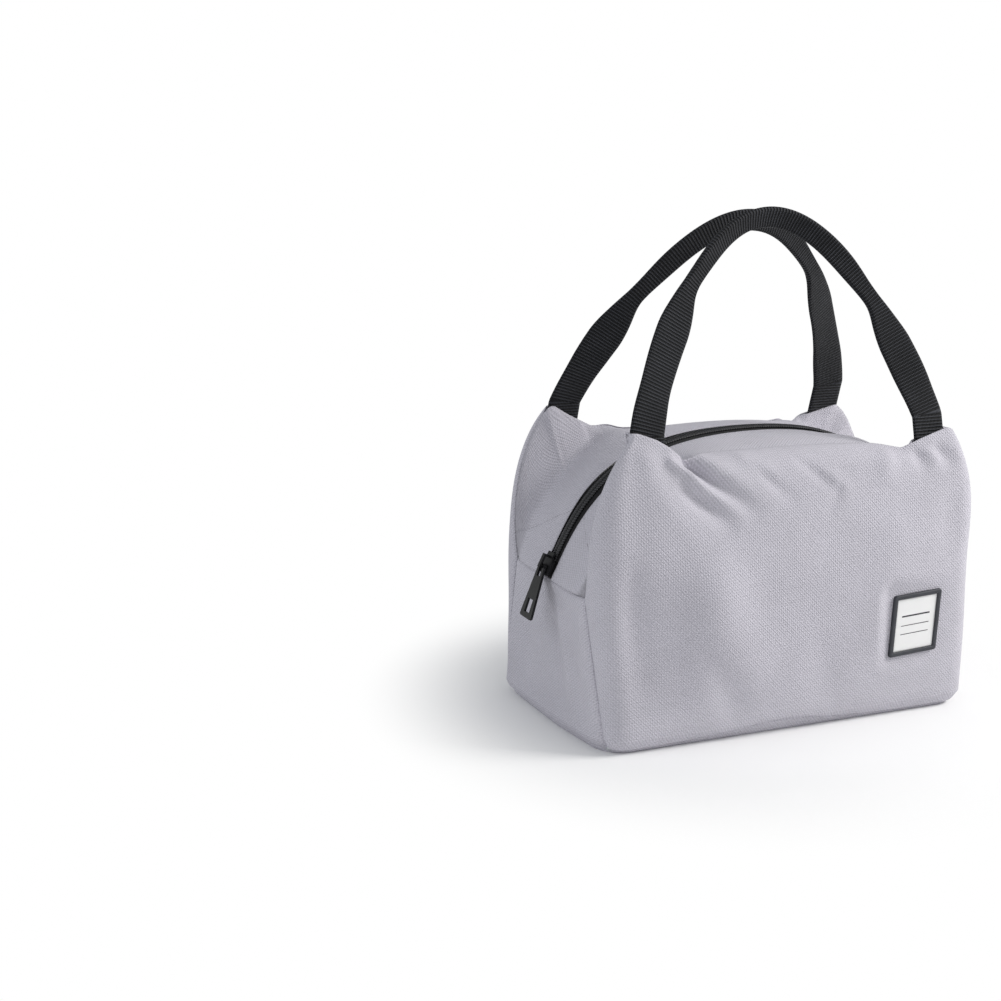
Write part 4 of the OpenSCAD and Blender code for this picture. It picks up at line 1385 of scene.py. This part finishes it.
def area_lamp(name, place, target, size, power, colour_now):
    """A square lamp at a place, turned to a target, both in metres."""
    data = bpy.data.lights.new(name, "AREA")
    data.energy, data.size, data.color = power, size, colour_now
    lamp = link(name, data)
    lamp.location = place
    lamp.rotation_euler = (Vector(target) - Vector(place)).to_track_quat("-Z", "Y").to_euler()


class BAG_OT_stage(Operator):
    """Sets the pale floor, the even light, the lamps and the camera"""

    bl_idname = "bag.stage"
    bl_label = "Floor, light and camera"

    def execute(self, context):
        scene = context.scene
        s = scene.bag_stage
        scene.view_settings.view_transform = "Standard"
        r = np.linspace(0, 1, 12)[:, None] ** 2 * 6000
        a = np.linspace(0, 2 * np.pi, 49)[None, :]
        grid = xyz(r * np.cos(a), r * np.sin(a), -0.05 + 0 * r * a)
        mesh = bpy.data.meshes.new("floor")
        quads = grid_quads(np.arange(12 * 49).reshape(12, 49))
        mesh.from_pydata((grid.reshape(-1, 3) / 1000).tolist(), [], quads.tolist())
        floor = link("floor", mesh)
        mat = bpy.data.materials.new("floor_paper")
        mat.use_nodes = True
        tree = mat.node_tree
        tree.nodes.clear()
        where = add(tree, "ShaderNodeTexCoord").outputs["Object"]
        away = add(tree, "ShaderNodeVectorMath", {0: where}, operation="LENGTH").outputs["Value"]
        fade = add(tree, "ShaderNodeMapRange", {"Value": away, "From Min": 0.12, "From Max": 0.22},
                   interpolation_type="SMOOTHSTEP").outputs[0]
        path = add(tree, "ShaderNodeLightPath")
        seen = maths(tree, "MAXIMUM", path.outputs["Is Camera Ray"], path.outputs["Is Glossy Ray"])
        paper = add(tree, "ShaderNodeBsdfDiffuse", {"Color": (0.93, 0.93, 0.93, 1)}).outputs[0]
        white = add(tree, "ShaderNodeEmission",
                    {"Color": (1, 1, 1, 1), "Strength": 1.0}).outputs[0]
        mixed = add(tree, "ShaderNodeMixShader",
                    {0: times(tree, fade, seen), 1: paper, 2: white}).outputs[0]
        add(tree, "ShaderNodeOutputMaterial", {"Surface": mixed})
        mesh.materials.append(mat)

        world = bpy.data.worlds.new("studio")
        scene.world = world
        world.use_nodes = True
        tree = world.node_tree
        tree.nodes.clear()
        path = add(tree, "ShaderNodeLightPath")
        seen = maths(tree, "MAXIMUM", path.outputs["Is Camera Ray"],
                     path.outputs["Is Transmission Ray"])
        even = add(tree, "ShaderNodeBackground", {"Color": (0.96, 0.98, 1, 1),
                                                  "Strength": s.sky}).outputs[0]
        white = add(tree, "ShaderNodeBackground", {"Color": (1, 1, 1, 1),
                                                   "Strength": 1.0}).outputs[0]
        mixed = add(tree, "ShaderNodeMixShader", {0: seen, 1: even, 2: white}).outputs[0]
        add(tree, "ShaderNodeOutputWorld", {"Surface": mixed})

        area_lamp("key_lamp", (0.9, -0.47, 0.8), (0, 0, 0.1), 0.5, s.key, (1, 0.985, 0.96))
        area_lamp("fill_lamp", (-1.6, 0.05, 0.85), (0, 0, 0.1), 1.0, s.fill, (0.93, 0.96, 1))

        az, el, tilt = VIEW_AZIMUTH, VIEW_HEIGHT, VIEW_TILT
        back = np.array([np.sin(az) * np.cos(el), -np.cos(az) * np.cos(el), np.sin(el)])
        place = VIEW_TARGET + back * VIEW_RANGE
        right = np.cross(-back, [0, 0, 1.0])
        right /= np.linalg.norm(right)
        up = np.cross(right, -back)
        r2 = np.cos(tilt) * right + np.sin(tilt) * up
        u2 = -np.sin(tilt) * right + np.cos(tilt) * up
        data = bpy.data.cameras.new("camera")
        data.lens, data.sensor_width, data.sensor_fit = LENS, 36, "HORIZONTAL"
        data.clip_start = 0.01
        camera = link("camera", data)
        camera.matrix_world = Matrix([[*row, t] for row, t in zip(np.stack([r2, u2, back], 1),
                                                                  place)] + [[0, 0, 0, 1]])
        scene.camera = camera
        return {"FINISHED"}


# ---- Panel, registration and main ----

STEPS = ("body", "top", "liners", "zip", "slider", "handles", "plate", "stage")


class BAG_PT_panel(Panel):
    """Lists the steps that build the lunch bag, and their sizes"""

    bl_label = "Lunch Bag"
    bl_idname = "BAG_PT_panel"
    bl_space_type = "VIEW_3D"
    bl_region_type = "UI"
    bl_category = "Lunch Bag"

    def draw(self, context):
        for step in STEPS:
            self.layout.operator("bag." + step)
        for name in ("bag_body", "bag_zip", "bag_handles", "bag_plate", "bag_stage"):
            group = getattr(context.scene, name)
            box = self.layout.box()
            for prop in group.__annotations__:
                box.prop(group, prop)


GROUPS = {"bag_body": BodySizes, "bag_zip": ZipSizes, "bag_handles": HandleSizes,
          "bag_plate": PlateSizes, "bag_stage": StageSizes}
CLASSES = (BAG_OT_body, BAG_OT_top, BAG_OT_liners, BAG_OT_zip, BAG_OT_slider, BAG_OT_handles,
           BAG_OT_plate, BAG_OT_stage, BAG_PT_panel)


def register():
    """Registers the classes and hangs each group of sizes on the scene."""
    for cls in (*GROUPS.values(), *CLASSES):
        bpy.utils.register_class(cls)
    for name, cls in GROUPS.items():
        setattr(bpy.types.Scene, name, PointerProperty(type=cls))


def unregister():
    """Takes the groups off the scene again, and the classes in reverse."""
    for name in GROUPS:
        delattr(bpy.types.Scene, name)
    for cls in reversed((*GROUPS.values(), *CLASSES)):
        bpy.utils.unregister_class(cls)


def main():
    register()
    for step in STEPS:
        getattr(bpy.ops.bag, step)()


if __name__ == "__main__":
    main()
